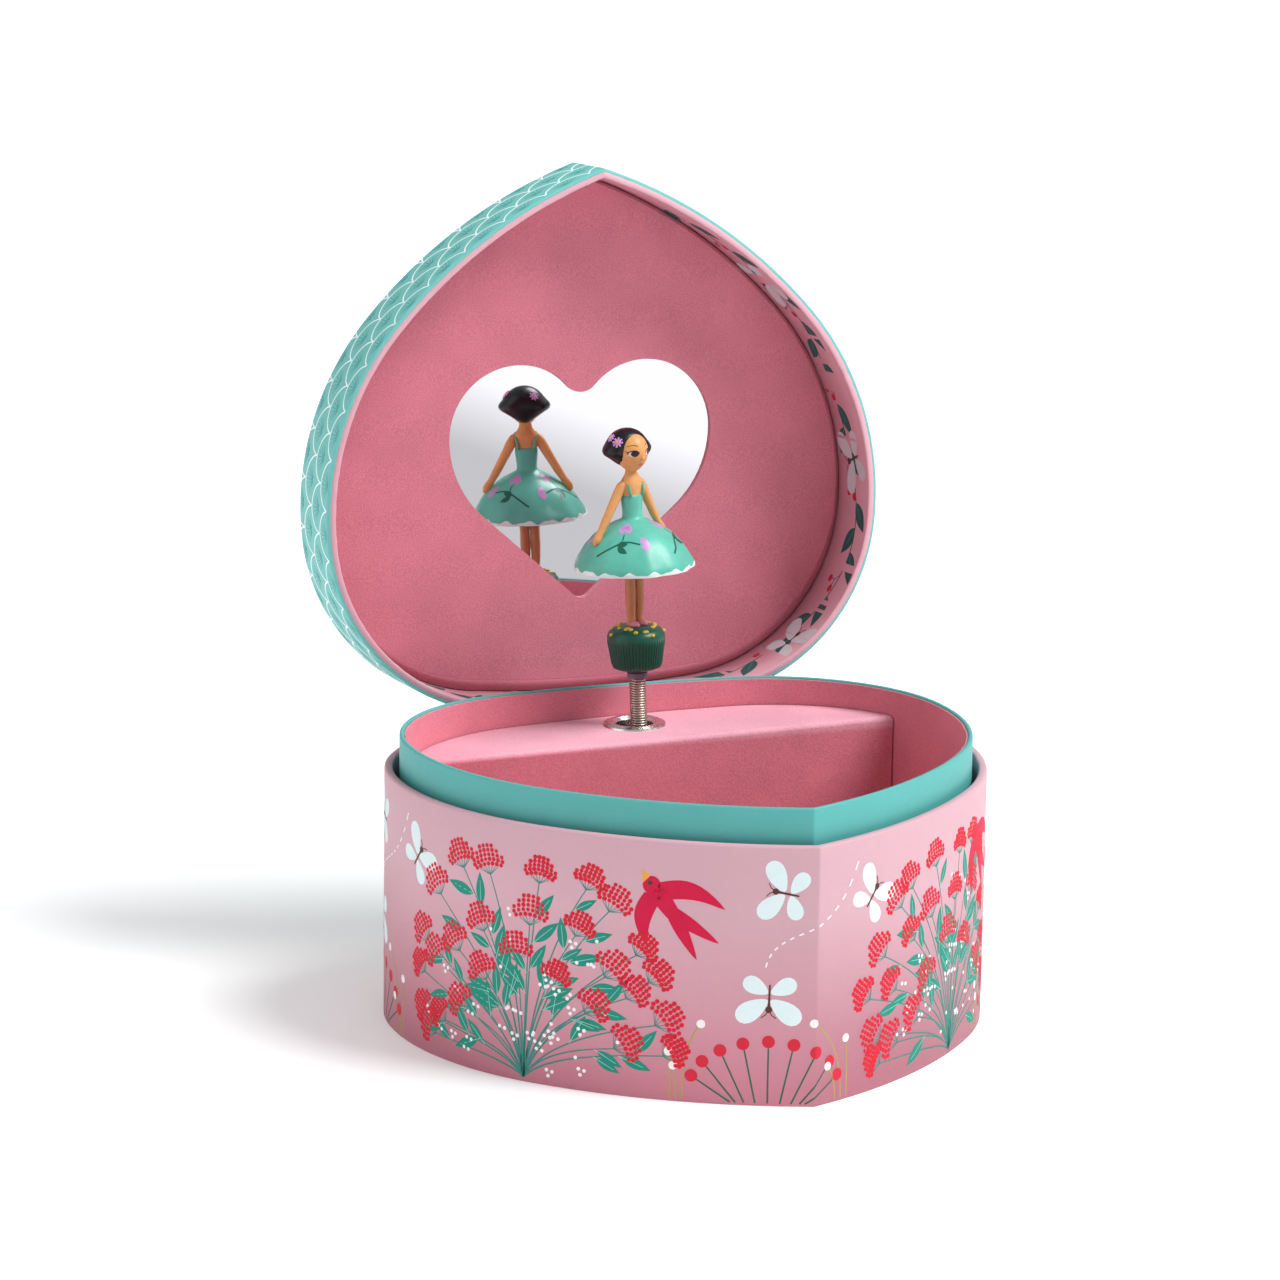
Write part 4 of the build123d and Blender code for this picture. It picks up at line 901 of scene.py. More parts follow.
class MUSICBOX_OT_wall_print(bpy.types.Operator):
    """Printed garden on the outer wall: bushes, butterflies, a bird and small flowers."""
    bl_idname = "musicbox.wall_print"
    bl_label = "Wall print"

    def execute(self, context):
        lift = settings().sizes.ink_lift
        stems, leaves, ribs, whites = Drawing(), Drawing(), Drawing(), Drawing()
        wings, dark, beak = Drawing(), Drawing(), Drawing()
        olive, deep, dots, bird = Drawing(), Drawing(), Drawing(), Drawing()
        berries = []
        shifts = (0.0, 113.0, -131.0)
        for k, root in enumerate((-74.0, 57.0, 57.0 + shifts[1], -74.0 + shifts[2])):
            bush(root, settings().sizes.bush_seed + k, berries, stems, leaves, ribs, whites)
        for shift in shifts:
            pin_flowers(-11.5 + shift, deep, dots, olive, whites)
        for shift in shifts:
            flight(shift, bird, beak, dark, wings, whites)
        layers = (
            ("olive", olive, 1, ink("olive ink", (0.42, 0.36, 0.08))),
            ("deep", deep, 1, ink("dark stem ink", (0.03, 0.13, 0.08))),
            ("stems", stems, 2, ink("teal stem ink", (0.05, 0.24, 0.21))),
            ("leaves", leaves, 3, ink("leaf ink", (0.012, 0.26, 0.19))),
            ("ribs", ribs, 4, ink("light rib ink", (0.30, 0.62, 0.55))),
            ("whites", whites, 5, ink("white ink", (0.88, 0.86, 0.88))),
            ("wings", wings, 6, ink("wing ink", (0.72, 0.85, 0.86))),
            ("dots", dots, 4, ink("red dot ink", (0.62, 0.02, 0.045))),
            ("bird", bird, 7, ink("crimson ink", (0.62, 0.006, 0.055))),
            ("beak", beak, 8, ink("orange ink", (0.85, 0.38, 0.05))),
            ("dark", dark, 9, ink("brown ink", (0.10, 0.035, 0.03))),
        )
        for label, drawing, level, look in layers:
            obj = film("wall_print_" + label, drawing.flat_mesh(2.0), place_on_wall, INK_FOOT,
                       lift * (0.6 + 0.12 * level), look)
            finish_piece(obj, "box", "pink_paper")
        disc = new_mesh("berry", [(math.cos(k * math.pi / 4) * MM, math.sin(k * math.pi / 4) * MM, 0)
                                  for k in range(8)], [tuple(range(8))])
        red = ink("berry ink", (0.66, 0.010, 0.032))
        points = [(p.x * MM, p.y * MM, 0) for p in berries]
        flat = scattered("berries", points, disc, red, size=0.57, size_spread=0.06, turn_spread=0.4,
                         seed=settings().sizes.bush_seed)
        obj = film("wall_print_berries", sheet_of(flat), place_on_wall, INK_FOOT, lift * 2.2, red)
        finish_piece(obj, "box", "pink_paper")
        return {"FINISHED"}


# ------------------------------------------------------------------ lid
class MUSICBOX_OT_lid(bpy.types.Operator):
    """Lid wall, its inner paper, the flocked panel and the mirror."""
    bl_idname = "musicbox.lid"
    bl_label = "Lid"

    def execute(self, context):
        colors, sizes = settings().colors, settings().sizes
        aqua = paper("aqua lid paper", tuple(colors.aqua))
        rim, top = WALL_TOP + LID_GAP, WALL_TOP + LID_DEPTH
        profile = rounded([(0, rim, True), (0, top, True), (BOARD, top, False), (BOARD, rim, True)],
                          sizes.rim_rounding)
        wall = swept_wall("lid_paper_wall", profile, aqua, place=OPENED)
        finish_piece(wall, "lid", "lid_paper", "lid_wall")
        wear("lid_top", aqua)
        pink = paper("pink inner paper", (0.74, 0.40, 0.47))
        inner = BOARD + LID_LINING
        turn_in = 0.9 * MM
        profile = rounded([(turn_in, rim - 0.05 * MM, False), (inner, rim - 0.05 * MM, True),
                           (inner, top - LID_TOP_BOARD, False), (BOARD, top - LID_TOP_BOARD, False),
                           (BOARD, rim + 0.1 * MM, False), (turn_in, rim + 0.1 * MM, False)], 0.3 * MM)
        folds = crease_table(31, 60, 0.10 * MM, 0.8 * MM)
        lining = swept_wall("lid_inner_paper", profile, pink, folds, rim - 1 * MM, place=OPENED)
        finish_piece(lining, "lid", "inner_paper", "lid_lining")
        pile = flock("flocked panel", tuple(colors.flock))
        wear("lid_panel", pile)
        face = WALL_TOP + PANEL_DEPTH
        profile = [(inner + 0.25 * MM, face - 0.02 * MM), (inner + 0.25 * MM, face + 0.8 * MM),
                   (inner + 5.0 * MM, face + 0.8 * MM), (inner + 5.0 * MM, face + 0.10 * MM)]
        sloped = Matrix.Identity(4)
        sloped[2][1] = math.tan(PANEL_TILT)
        edge = swept_wall("panel_edge_cloth", profile, pile, place=OPENED @ sloped)
        finish_piece(edge, "lid", "flock")
        wear("panel_packing", finish("white foam", (0.8, 0.8, 0.78), fine=1500, rough=0.9, relief=0.5))
        wear("mirror", finish("silvered mirror", (0.90, 0.90, 0.92), shade=(0.86, 0.86, 0.89), fine=300,
                              broad=20, fine_mix=0.05, broad_mix=0.1, rough=0.015, spread=0.01,
                              relief=0.0, Metallic=1.0))
        return {"FINISHED"}


def scallop_grid(width, height, radius):
    """Staggered scallop centres over a rectangle, in metres."""
    points = []
    rows = int(height / radius) + 2
    for row in range(-1, rows):
        u = -width - (radius if row % 2 else 0)
        while u < width + radius:
            points.append((u, row * radius, 0))
            u += 2 * radius
    return points


def scallop_shapes(radius):
    """The white arc of one scallop and the darker rays of its fan, in millimetres."""
    arc, rays = Drawing(), Drawing()
    r = radius / MM
    for turn in (0, 1):
        path = [(r * math.cos(a), r * math.sin(a)) for a in
                [math.pi * (0.02 + 0.48 * k / 8 + 0.48 * turn) for k in range(9)]]
        arc.ribbon(path, 0.46)
    for k in range(-3, 4):
        a = math.pi / 2 + k * 0.27
        reach = r * (0.86 - 0.05 * abs(k))
        rays.ribbon(((0.9 * math.cos(a), 0.9 * math.sin(a)), (reach * math.cos(a), reach * math.sin(a))),
                    0.26, 0.12)
    return arc, rays


def flat_object(name, drawing):
    """A flat drawing as an object that can be copied onto points."""
    data = bpy.data.meshes.new(name)
    sheet = drawing.flat_mesh(2.5)
    sheet.to_mesh(data)
    sheet.free()
    obj = bpy.data.objects.new(name, data)
    bpy.context.scene.collection.objects.link(obj)
    return obj


def trimmed(sheet, low_u, high_u, low_v, high_v):
    """Cuts a flat sheet to a rectangle."""
    for point, normal in (((low_u, 0, 0), (-1, 0, 0)), ((high_u, 0, 0), (1, 0, 0)),
                          ((0, low_v, 0), (0, -1, 0)), ((0, high_v, 0), (0, 1, 0))):
        bmesh.ops.bisect_plane(sheet, geom=sheet.verts[:] + sheet.edges[:] + sheet.faces[:],
                               plane_co=point, plane_no=normal, clear_outer=True, dist=1e-7)
    return sheet


LID_TOP_EDGE = half_plan(0.0)[::6]


def inside_plan(u, v, inset):
    """True where a point of the lid top is inside the plan."""
    here = Vector((abs(u), v))
    return all((here - (point - out * inset)).dot(out) <= 0 for point, out in LID_TOP_EDGE)


class MUSICBOX_OT_lid_print(bpy.types.Operator):
    """White scallops with fans on the outside of the lid, and a leafy vine inside its wall."""
    bl_idname = "musicbox.lid_print"
    bl_label = "Lid print"

    def execute(self, context):
        sizes = settings().sizes
        lift, radius = sizes.ink_lift, sizes.scallop
        white = ink("white line ink", (0.88, 1.0, 1.0))
        fan = ink("teal fan ink", (0.05, 0.31, 0.31))
        arc, rays = scallop_shapes(radius)
        height = LID_DEPTH - LID_GAP
        for label, shape, finish_ink, level in (("scallops", arc, white, 1.3), ("fans", rays, fan, 1.0)):
            flat = scattered("lid " + label, scallop_grid(WALL_RUN[-1], height, radius),
                             flat_object(label, shape), finish_ink, size=1.0, size_spread=0.0, seed=3)
            sheet = trimmed(sheet_of(flat), -WALL_RUN[-1], WALL_RUN[-1], 0.9 * MM, height - 0.9 * MM)
            obj = film("lid_wall_print_" + label, sheet, place_on_lid_wall, INK_FOOT, lift * level,
                       finish_ink)
            finish_piece(obj, "lid", "lid_paper")
            points = [(u, v + WALL_LOW.y, 0) for u, v, _ in
                      scallop_grid(WALL_HIGH.x, 2 * WALL_HIGH.y, radius)]
            flat = scattered("lid top " + label, points, flat_object(label, shape), finish_ink,
                             size=1.0, size_spread=0.0, seed=3)
            sheet = sheet_of(flat)
            outside = [f for f in sheet.faces
                       if not all(inside_plan(v.co.x, v.co.y, 1.0 * MM) for v in f.verts)]
            bmesh.ops.delete(sheet, geom=outside, context="FACES")
            obj = film("lid_top_print_" + label, sheet, place_on_lid_top, INK_FOOT, lift * level,
                       finish_ink)
            finish_piece(obj, "lid", "lid_paper")
        self.vine(lift)
        return {"FINISHED"}

    def vine(self, lift):
        """Leaves, berries and butterflies along a waving stem, on each side of the lid's inside."""
        stems, leaves, ribs, fruit, wings, dark = (Drawing() for _ in range(6))
        draw = random.Random(19)
        for side in (-1, 1):
            u = 22.0
            while u < 212:
                path = [Vector((side * (u + 3.5 * k), 10 + 3.2 * math.sin((u + 3.5 * k) / 13)))
                        for k in range(9)]
                stems.ribbon(path, 0.4)
                for k, turn in ((1, 1), (3, -1), (5, 1), (7, -1)):
                    run = path[k + 1] - path[k]
                    angle = math.atan2(run.y, run.x) + turn * draw.uniform(0.5, 0.8)
                    if k == 5:
                        tip = path[k] + 5.5 * ray(angle)
                        for spread in (-0.35, 0.35):
                            end = path[k] + 5.5 * ray(angle + spread)
                            stems.ribbon((path[k], path[k].lerp(tip, 0.5), end), 0.25)
                            fruit.disc(end, 1.15, 12)
                        continue
                    leaves.leaf(path[k], angle, draw.uniform(9.5, 12), 4.8)
                    ribs.ribbon((path[k], path[k] + 6 * ray(angle)), 0.2)
                u += 28
            for u in (60, 118, 176):
                butterfly(wings, dark, (side * u, 9.0), draw.uniform(0, 6.2), 1.2)
        palette = (("stems", stems, ink("vine stem ink", (0.02, 0.10, 0.09)), 1.0),
                   ("leaves", leaves, ink("vine leaf ink", (0.02, 0.11, 0.10)), 1.2),
                   ("ribs", ribs, ink("vine rib ink", (0.10, 0.28, 0.26)), 1.4),
                   ("fruit", fruit, ink("vine berry ink", (0.60, 0.02, 0.06)), 1.4),
                   ("wings", wings, ink("grey wing ink", (0.62, 0.62, 0.66)), 1.5),
                   ("bodies", dark, ink("vine brown ink", (0.08, 0.04, 0.05)), 1.7))
        for label, drawing, finish_ink, level in palette:
            sheet = trimmed(drawing.flat_mesh(2.0), -WALL_RUN[-1], WALL_RUN[-1], 0.6 * MM, 20.5 * MM)
            obj = film("lid_vine_" + label, sheet, place_in_lid, INK_FOOT, lift * level, finish_ink,
                       flip=True)
            finish_piece(obj, "lid", "inner_paper")


STRIP_WIDTH = 50 * MM
STRIP_LEG = 13 * MM          # length of the cloth on each side of the hinge line
STRIP_THICKNESS = 0.25 * MM
STRIP_COLUMNS = 24
LEG_ROWS = 7
BEND_BELOW = 1.2 * MM        # where the cloth leaves the box, below the wall's top
BEND_ABOVE = 1.6 * MM        # and where it meets the lid, above it


def strip_row(where, inset, z):
    """Points across the strip at one height, on the box or on the opened lid."""
    line = []
    for k in range(STRIP_COLUMNS + 1):
        x = STRIP_WIDTH * (k / STRIP_COLUMNS - 0.5)
        point, _ = on_wall(math.copysign(WALL_RUN[-1] - abs(x), x or 1.0), inset)
        place = Vector((x, point.y, z))
        line.append(OPENED @ place if where == "lid" else place)
    return line


def strip_side(box_inset, lid_inset):
    """Rows of one face of the strip: up the box, round the bend and on up the lid."""
    steps = LEG_ROWS - 1
    box_rows = [strip_row("box", box_inset, WALL_TOP - STRIP_LEG + (STRIP_LEG - BEND_BELOW) * k / steps)
                for k in range(LEG_ROWS)]
    lid_rows = [strip_row("lid", lid_inset, WALL_TOP + BEND_ABOVE + (STRIP_LEG - BEND_ABOVE) * k / steps)
                for k in range(LEG_ROWS)]
    bend = []
    for t in (0.25, 0.5, 0.75):
        row = []
        for a, b, before, after in zip(box_rows[-1], lid_rows[0], box_rows[-2], lid_rows[1]):
            knee_a = a + (a - before).normalized() * (b - a).length * 0.45
            knee_b = b + (b - after).normalized() * (b - a).length * 0.45
            p = a.lerp(knee_a, t).lerp(knee_a.lerp(knee_b, t), t)
            q = knee_a.lerp(knee_b, t).lerp(knee_b.lerp(b, t), t)
            row.append(p.lerp(q, t))
        bend.append(row)
    return box_rows + bend + lid_rows


def strip_mesh(name, sides, cloth):
    """A closed strip from the rows of its two faces."""
    rows, width = len(sides[0]), STRIP_COLUMNS + 1
    base = rows * width
    faces = []
    for r in range(rows - 1):
        for k in range(STRIP_COLUMNS):
            a, b = r * width + k, (r + 1) * width + k
            faces.append((a, a + 1, b + 1, b))
            faces.append((base + a, base + b, base + b + 1, base + a + 1))
    edge = list(range(width)) + [r * width + STRIP_COLUMNS for r in range(1, rows)]
    edge += [(rows - 1) * width + k for k in range(STRIP_COLUMNS - 1, -1, -1)]
    edge += [r * width for r in range(rows - 2, 0, -1)]
    for a, b in zip(edge, edge[1:] + edge[:1]):
        faces.append((a, b, base + b, base + a))
    return outward(new_mesh(name, [p for side in sides for line in side for p in line], faces, cloth))


class MUSICBOX_OT_hinge(bpy.types.Operator):
    """Cloth hinge strips, shaped round the bend between the box and the opened lid."""
    bl_idname = "musicbox.hinge"
    bl_label = "Hinge strips"

    def execute(self, context):
        cloth = finish("hinge cloth", (0.10, 0.40, 0.38), fine=3200, broad=300, fine_mix=0.4,
                       broad_mix=0.2, rough=0.85, relief=0.8, stretch=(1, 0.3, 1))
        clear = 0.05 * MM
        for label, insets, outside, start, end in (
                ("outer", (-clear, -clear), -1, (0, 0.2, -1.3), (0, 1.4, -0.1)),
                ("inner", (BOARD + clear, BOARD + LID_LINING + clear), 1, (0, -2.7, -0.3), (0, 0.1, 2.6))):
            sides = [strip_side(*[inset + outside * depth for inset in insets])
                     for depth in (0.0, STRIP_THICKNESS)]
            strip = strip_mesh("hinge_cloth_" + label, sides, cloth)
            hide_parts("hinge_strip_" + label)
            HINGE + Vector(start) * MM
            HINGE + Vector(end) * MM
            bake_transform(strip)
        return {"FINISHED"}


# ------------------------------------------------------------------ spring and doll
AXIS = Vector(SPIN_JOINT["axis"]).normalized()
SPIN_AT = Vector(SPIN_JOINT["pos_m"])


def on_axis(z):
    """Point of the leaning spring axis at this height."""
    return SPIN_AT + AXIS * ((z - SPIN_AT.z) / AXIS.z)


def leaned(point):
    """Matrix that stands a piece on the leaning axis with its origin at the point."""
    side = Vector((1, 0, 0))
    side = (side - AXIS * side.dot(AXIS)).normalized()
    depth = AXIS.cross(side)
    turn = Matrix((side, depth, AXIS)).transposed().to_4x4()
    return Matrix.Translation(point) @ turn


def coil_tree():
    """Geometry nodes: a wire wound round Z, with its radius, height, turns and wire radius."""
    tree, given = new_group("wound wire", "GeometryNodeTree", (
        ("Geometry", "Geometry", None), ("Radius", "Float", 0.002), ("Height", "Float", 0.005),
        ("Turns", "Float", 10.0), ("Wire radius", "Float", 0.0003), ("Finish", "Material", None)),
        (("Geometry", "Geometry"),))
    spiral = add_node(tree, "GeometryNodeCurveSpiral", {
        "Resolution": 36, "Rotations": given["Turns"], "Start Radius": given["Radius"],
        "End Radius": given["Radius"], "Height": given["Height"]})
    ring = add_node(tree, "GeometryNodeCurvePrimitiveCircle", {"Resolution": 10,
                                                               "Radius": given["Wire radius"]})
    solid = add_node(tree, "GeometryNodeCurveToMesh", {
        "Curve": spiral.outputs[0], "Profile Curve": ring.outputs[0], "Fill Caps": True})
    painted(tree, solid.outputs["Mesh"], given["Finish"])
    return tree


def coil(name, low, high, radius, pitch, wire, finish):
    """One wound piece of the spring between two heights, standing on the leaning axis."""
    holder = new_mesh(name + "_start", [(0, 0, 0)], [])
    modifier = holder.modifiers.new("wind", "NODES")
    modifier.node_group = bpy.data.node_groups.get("wound wire") or coil_tree()
    length = (high - low) / AXIS.z
    values = (("Radius", radius), ("Height", length), ("Turns", float(max(1, round(length / pitch)))),
              ("Wire radius", wire / 2), ("Finish", finish))
    for label, value in values:
        set_input(modifier, label, value)
    piece = evaluated(holder, name)
    piece.data.transform(leaned(on_axis(low)))
    for face in piece.data.polygons:
        face.use_smooth = True
    return outward(piece)


class MUSICBOX_OT_spring(bpy.types.Operator):
    """Eyelet, coil spring and its cap."""
    bl_idname = "musicbox.spring"
    bl_label = "Coil spring"

    def execute(self, context):
        sizes = settings().sizes
        steel = metal("spring steel", (0.58, 0.50, 0.44), 0.3)
        low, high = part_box("coil_spring_seat")
        bend_low = Vector(LOWER_JOINT["pos_m"]).z
        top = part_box("coil_spring_upper")[1].z
        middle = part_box("coil_spring_upper")[0].z
        radius = (high.x - low.x) / 2 - sizes.wire / 2
        seat = coil("wound_seat", low.z, bend_low, radius, sizes.pitch, sizes.wire, steel)
        finish_piece(seat, "cylinder", "spring_steel", "coil_spring_seat")
        for label, below, above, bodies in (("lower", bend_low, middle, ("box", "spring_lower")),
                                            ("upper", middle, top, ("spring_lower", "spring_upper"))):
            wound = coil("wound_" + label, below, above, radius, sizes.pitch, sizes.wire, steel)
            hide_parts("coil_spring_" + label)
            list(bodies)
            on_axis(below)
            on_axis(above)
            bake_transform(wound)
        wear("eyelet", metal("nickel plate", (0.80, 0.78, 0.76), 0.18))
        wear("spring_cap", enamel("grey cap enamel", (0.23, 0.18, 0.24), 0.4))
        return {"FINISHED"}


def ellipsoid(centre, radii, across=20, down=12, shape=None):
    """Vertices and faces of a closed ellipsoid; shape(point) may move its points."""
    centre = Vector(centre)
    vertices, faces = [Vector((0, 0, -1))], []
    for row in range(1, down):
        polar = -math.pi / 2 + math.pi * row / down
        for k in range(across):
            a = 2 * math.pi * k / across
            vertices.append(Vector((math.cos(a) * math.cos(polar), math.sin(a) * math.cos(polar),
                                    math.sin(polar))))
    vertices.append(Vector((0, 0, 1)))
    last = len(vertices) - 1
    for k in range(across):
        nxt = (k + 1) % across
        faces.append((0, 1 + nxt, 1 + k))
        faces.append((last, last - across + k, last - across + nxt))
        for row in range(down - 2):
            a, b = 1 + row * across, 1 + (row + 1) * across
            faces.append((a + k, a + nxt, b + nxt, b + k))
    placed = []
    for v in vertices:
        v = shape(v) if shape else v
        placed.append(centre + Vector((v.x * radii[0], v.y * radii[1], v.z * radii[2])))
    return placed, faces


def turned(rings, around, flat=1.0, shift=0.0, wave=None):
    """Vertices and faces of a turned body; flat squeezes its depth and wave(angle, z) moves its radius."""
    vertices = []
    for radius, z in rings:
        for k in range(around):
            a = 2 * math.pi * k / around
            r = radius + (wave(a, z) if wave else 0)
            vertices.append(Vector((r * math.cos(a), r * math.sin(a) * flat + shift, z)))
    faces = ring_faces(len(rings), around)
    faces.append(tuple(range(around))[::-1])
    faces.append(tuple((len(rings) - 1) * around + k for k in range(around)))
    return vertices, faces


LILAC = (0.62, 0.30, 0.66)
YELLOW = (0.72, 0.48, 0.04)
HEAD_PLACE = (0, -0.5, 58.8)         # doll sizes are in millimetres above the pedestal's foot
HAIR_PLACE = (0, 1.35, 59.8)
SKIRT = ((28.3, 15.7), (29.3, 15.7), (31.3, 14.7), (34.2, 12.9), (37.1, 10.2), (39.3, 7.0), (40.6, 4.4),
         (41.3, 3.1), (42.0, 2.8))
PEDESTAL_TOP = 12.8


def skirt_radius(z):
    """Radius of the skirt at a height above the pedestal's foot, in millimetres."""
    for (low, a), (high, b) in zip(SKIRT, SKIRT[1:]):
        if z <= high:
            t = max(0.0, (z - low) / (high - low))
            return a + (b - a) * t
    return SKIRT[-1][1]


def skirt_wave(angle, z):
    """Soft folds that are deepest at the hem."""
    depth = max(0.0, (39 - z) / 14)
    return 0.32 * depth * math.cos(9 * angle) + 0.12 * depth * math.cos(16 * angle + 1)


class MUSICBOX_OT_doll(bpy.types.Operator):
    """Turning doll: ribbed pedestal, legs, flowered skirt, arms and head."""
    bl_idname = "musicbox.doll"
    bl_label = "Doll"

    def stand(self):
        """Matrix from the doll's own millimetres to the frame."""
        foot = SPIN_AT + AXIS * 2.7 * MM
        turn = Matrix.Rotation(settings().sizes.doll_turn, 4, "Z")
        return leaned(foot) @ turn @ Matrix.Scale(MM, 4)

    def piece(self, name, parts, finish, slot, *nodes):
        """One closed piece on the doll's body."""
        obj = joined(name, parts, finish)
        obj.data.transform(self.stand())
        return finish_piece(obj, "doll", slot, *nodes)

    def print_on(self, name, drawing, place, finish, slot, level=1.0):
        """A painted detail that follows the surface given by place."""
        stand = self.stand()
        obj = film(name, drawing.flat_mesh(0.7), lambda u, v, lift: stand @ place(u / MM, v / MM, lift / MM),
                   -0.03 * MM, 0.035 * MM * level, finish)
        return finish_piece(outward(obj), "doll", slot)

    def execute(self, context):
        colors = settings().colors
        skin = enamel("doll skin", tuple(colors.skin), 0.35)
        self.pedestal()
        self.body(skin)
        self.dress(enamel("dress enamel", tuple(colors.dress)))
        self.head(skin)
        return {"FINISHED"}

    def pedestal(self):
        """Ribbed foot with yellow dots round its top."""
        rings = [(3.2, 1.0), (5.2, 1.1), (6.2, 1.6), (6.6, 2.6), (6.85, 4.2), (7.15, 6.2), (7.5, 8.2),
                 (7.65, 9.2), (7.6, 10.0), (7.3, 10.9), (6.5, 11.8), (5.0, 12.4), (2.6, 12.75),
                 (0.5, PEDESTAL_TOP)]
        ribs = turned(rings, 336, wave=lambda a, z: 0.13 * math.cos(56 * a) if 1.2 < z < 8.8 else 0.0)
        green = enamel("pedestal green", (0.010, 0.10, 0.065))
        self.piece("ribbed_pedestal", [ribs], green, "green_paint", "doll_pedestal")
        ball, faces = ellipsoid((0, 0, 0), (1, 1, 0.8), 10, 8)
        shape = new_mesh("dot", [v * MM for v in ball], faces)
        draw = random.Random(4)
        points = []
        for k in range(26):
            reach = draw.choice((7.2, 6.2, 4.9, 4.2))
            height = {7.2: 10.9, 6.2: 11.85, 4.9: 12.35, 4.2: 12.5}[reach]
            angle = k * 2.4 + draw.uniform(-0.2, 0.2)
            points.append((reach * MM * math.cos(angle), reach * MM * math.sin(angle), height * MM))
        yellow = enamel("yellow dots", YELLOW)
        dots = scattered("pedestal_dots", points, shape, yellow, size=0.62, size_spread=0.05, seed=2)
        dots.data.transform(self.stand() @ Matrix.Scale(1 / MM, 4))
        finish_piece(outward(dots), "doll", "green_paint")

    def body(self, skin):
        """Legs, shoes, shoulders and arms."""
        legs = []
        shoes = []
        for side in (-1, 1):
            x = side * 1.4
            path = [Vector((x, 0.1, z)) for z in (12.6, 14.2, 17, 20.5, 24, 28, 32)]
            legs.append(tube(path, (1.0, 1.0, 1.25, 1.4, 1.35, 1.5, 1.6), 16))
            shoes.append(ellipsoid((x, -0.7, 13.1), (1.2, 2.3, 0.95), 16, 10))
        self.piece("doll_leg_pair", legs, enamel("leg enamel", (0.62, 0.24, 0.10), 0.35), "skin_paint",
                   "doll_legs")
        self.piece("doll_shoes", shoes, enamel("shoe enamel", (0.72, 0.22, 0.30)), "dress_paint")
        parts = [turned([(1.6, 44.5), (2.9, 45.6), (3.05, 47.4), (3.3, 49.2), (3.5, 50.4), (3.2, 51.3),
                         (2.5, 52.2), (1.9, 53.1), (1.65, 54.2), (1.6, 56.0)], 32, 0.66)]
        for side in (-1, 1):
            path = [Vector((side * x, y, z)) for x, y, z in (
                (2.4, 0, 50.9), (3.3, 0.1, 50.2), (4.3, 0.3, 48.6), (5.6, 0.6, 46.2), (7.1, 0.9, 43.6),
                (8.6, 1.1, 41.0), (9.9, 1.3, 38.9), (10.7, 1.4, 37.6), (11.5, 1.4, 36.5), (12.2, 1.4, 35.6))]
            radii = (1.0, 1.3, 1.4, 1.3, 1.2, 1.15, 0.95, 1.15, 1.1, 0.4)
            parts.append(tube(path, radii, 16, 0.9))
        self.piece("doll_shoulders_and_arms", parts, skin, "skin_paint", "doll_bodice")

    def dress(self, dress):
        """Bell-shaped skirt, bodice and straps, with a white hem and painted flowers."""
        rings = [(1.8, 32.0), (13.9, 29.2), (15.0, 28.3)] + [(r, z) for z, r in SKIRT]
        rings += [(2.9, 43.4), (3.1, 45.4), (3.2, 46.9), (3.0, 47.6)]
        fine = []
        for (ra, za), (rb, zb) in zip(rings, rings[1:]):
            fine += [(ra, za), ((ra + rb) / 2, (za + zb) / 2)]
        fine.append(rings[-1])
        vertices, faces = turned(fine, 96, wave=skirt_wave)
        for v in vertices:
            if v.z > 40:
                v.y *= 1 - 0.24 * min(1, (v.z - 40) / 3)
        straps = []
        for side in (-1, 1):
            path = [Vector((side * x, y, z)) for x, y, z in (
                (2.0, -2.0, 47.2), (2.3, -2.15, 48.8), (2.6, -1.8, 50.2), (2.8, 0.0, 51.7), (2.6, 1.8, 50.2),
                (2.3, 2.1, 48.8), (2.0, 2.0, 47.2))]
            straps.append(tube(path, (0.32,) * 7, 10))
        self.piece("doll_dress", [(vertices, faces)] + straps, dress, "dress_paint", "doll_skirt")

        def place(u, v, lift):
            radius = skirt_radius(v) + skirt_wave(u / 10, v) + lift
            return Vector((radius * math.cos(u / 10), radius * math.sin(u / 10), v))

        hem, stalks, lilac = Drawing(), Drawing(), Drawing()
        count = 160
        for k in range(count):
            a, b = (2 * math.pi * 10 * i / count for i in (k, k + 1))
            tops = [29.2 + 0.4 * math.cos(1.6 * i) + 0.2 * math.cos(2.9 * i) for i in (a, b)]
            hem.polygon(((a, 28.35), (b, 28.35), (b, tops[1]), (a, tops[0])))
        for shift in (0, 97, 183, 265):
            def at(angle, z):
                return Vector((math.radians(angle + shift) * 10, z))

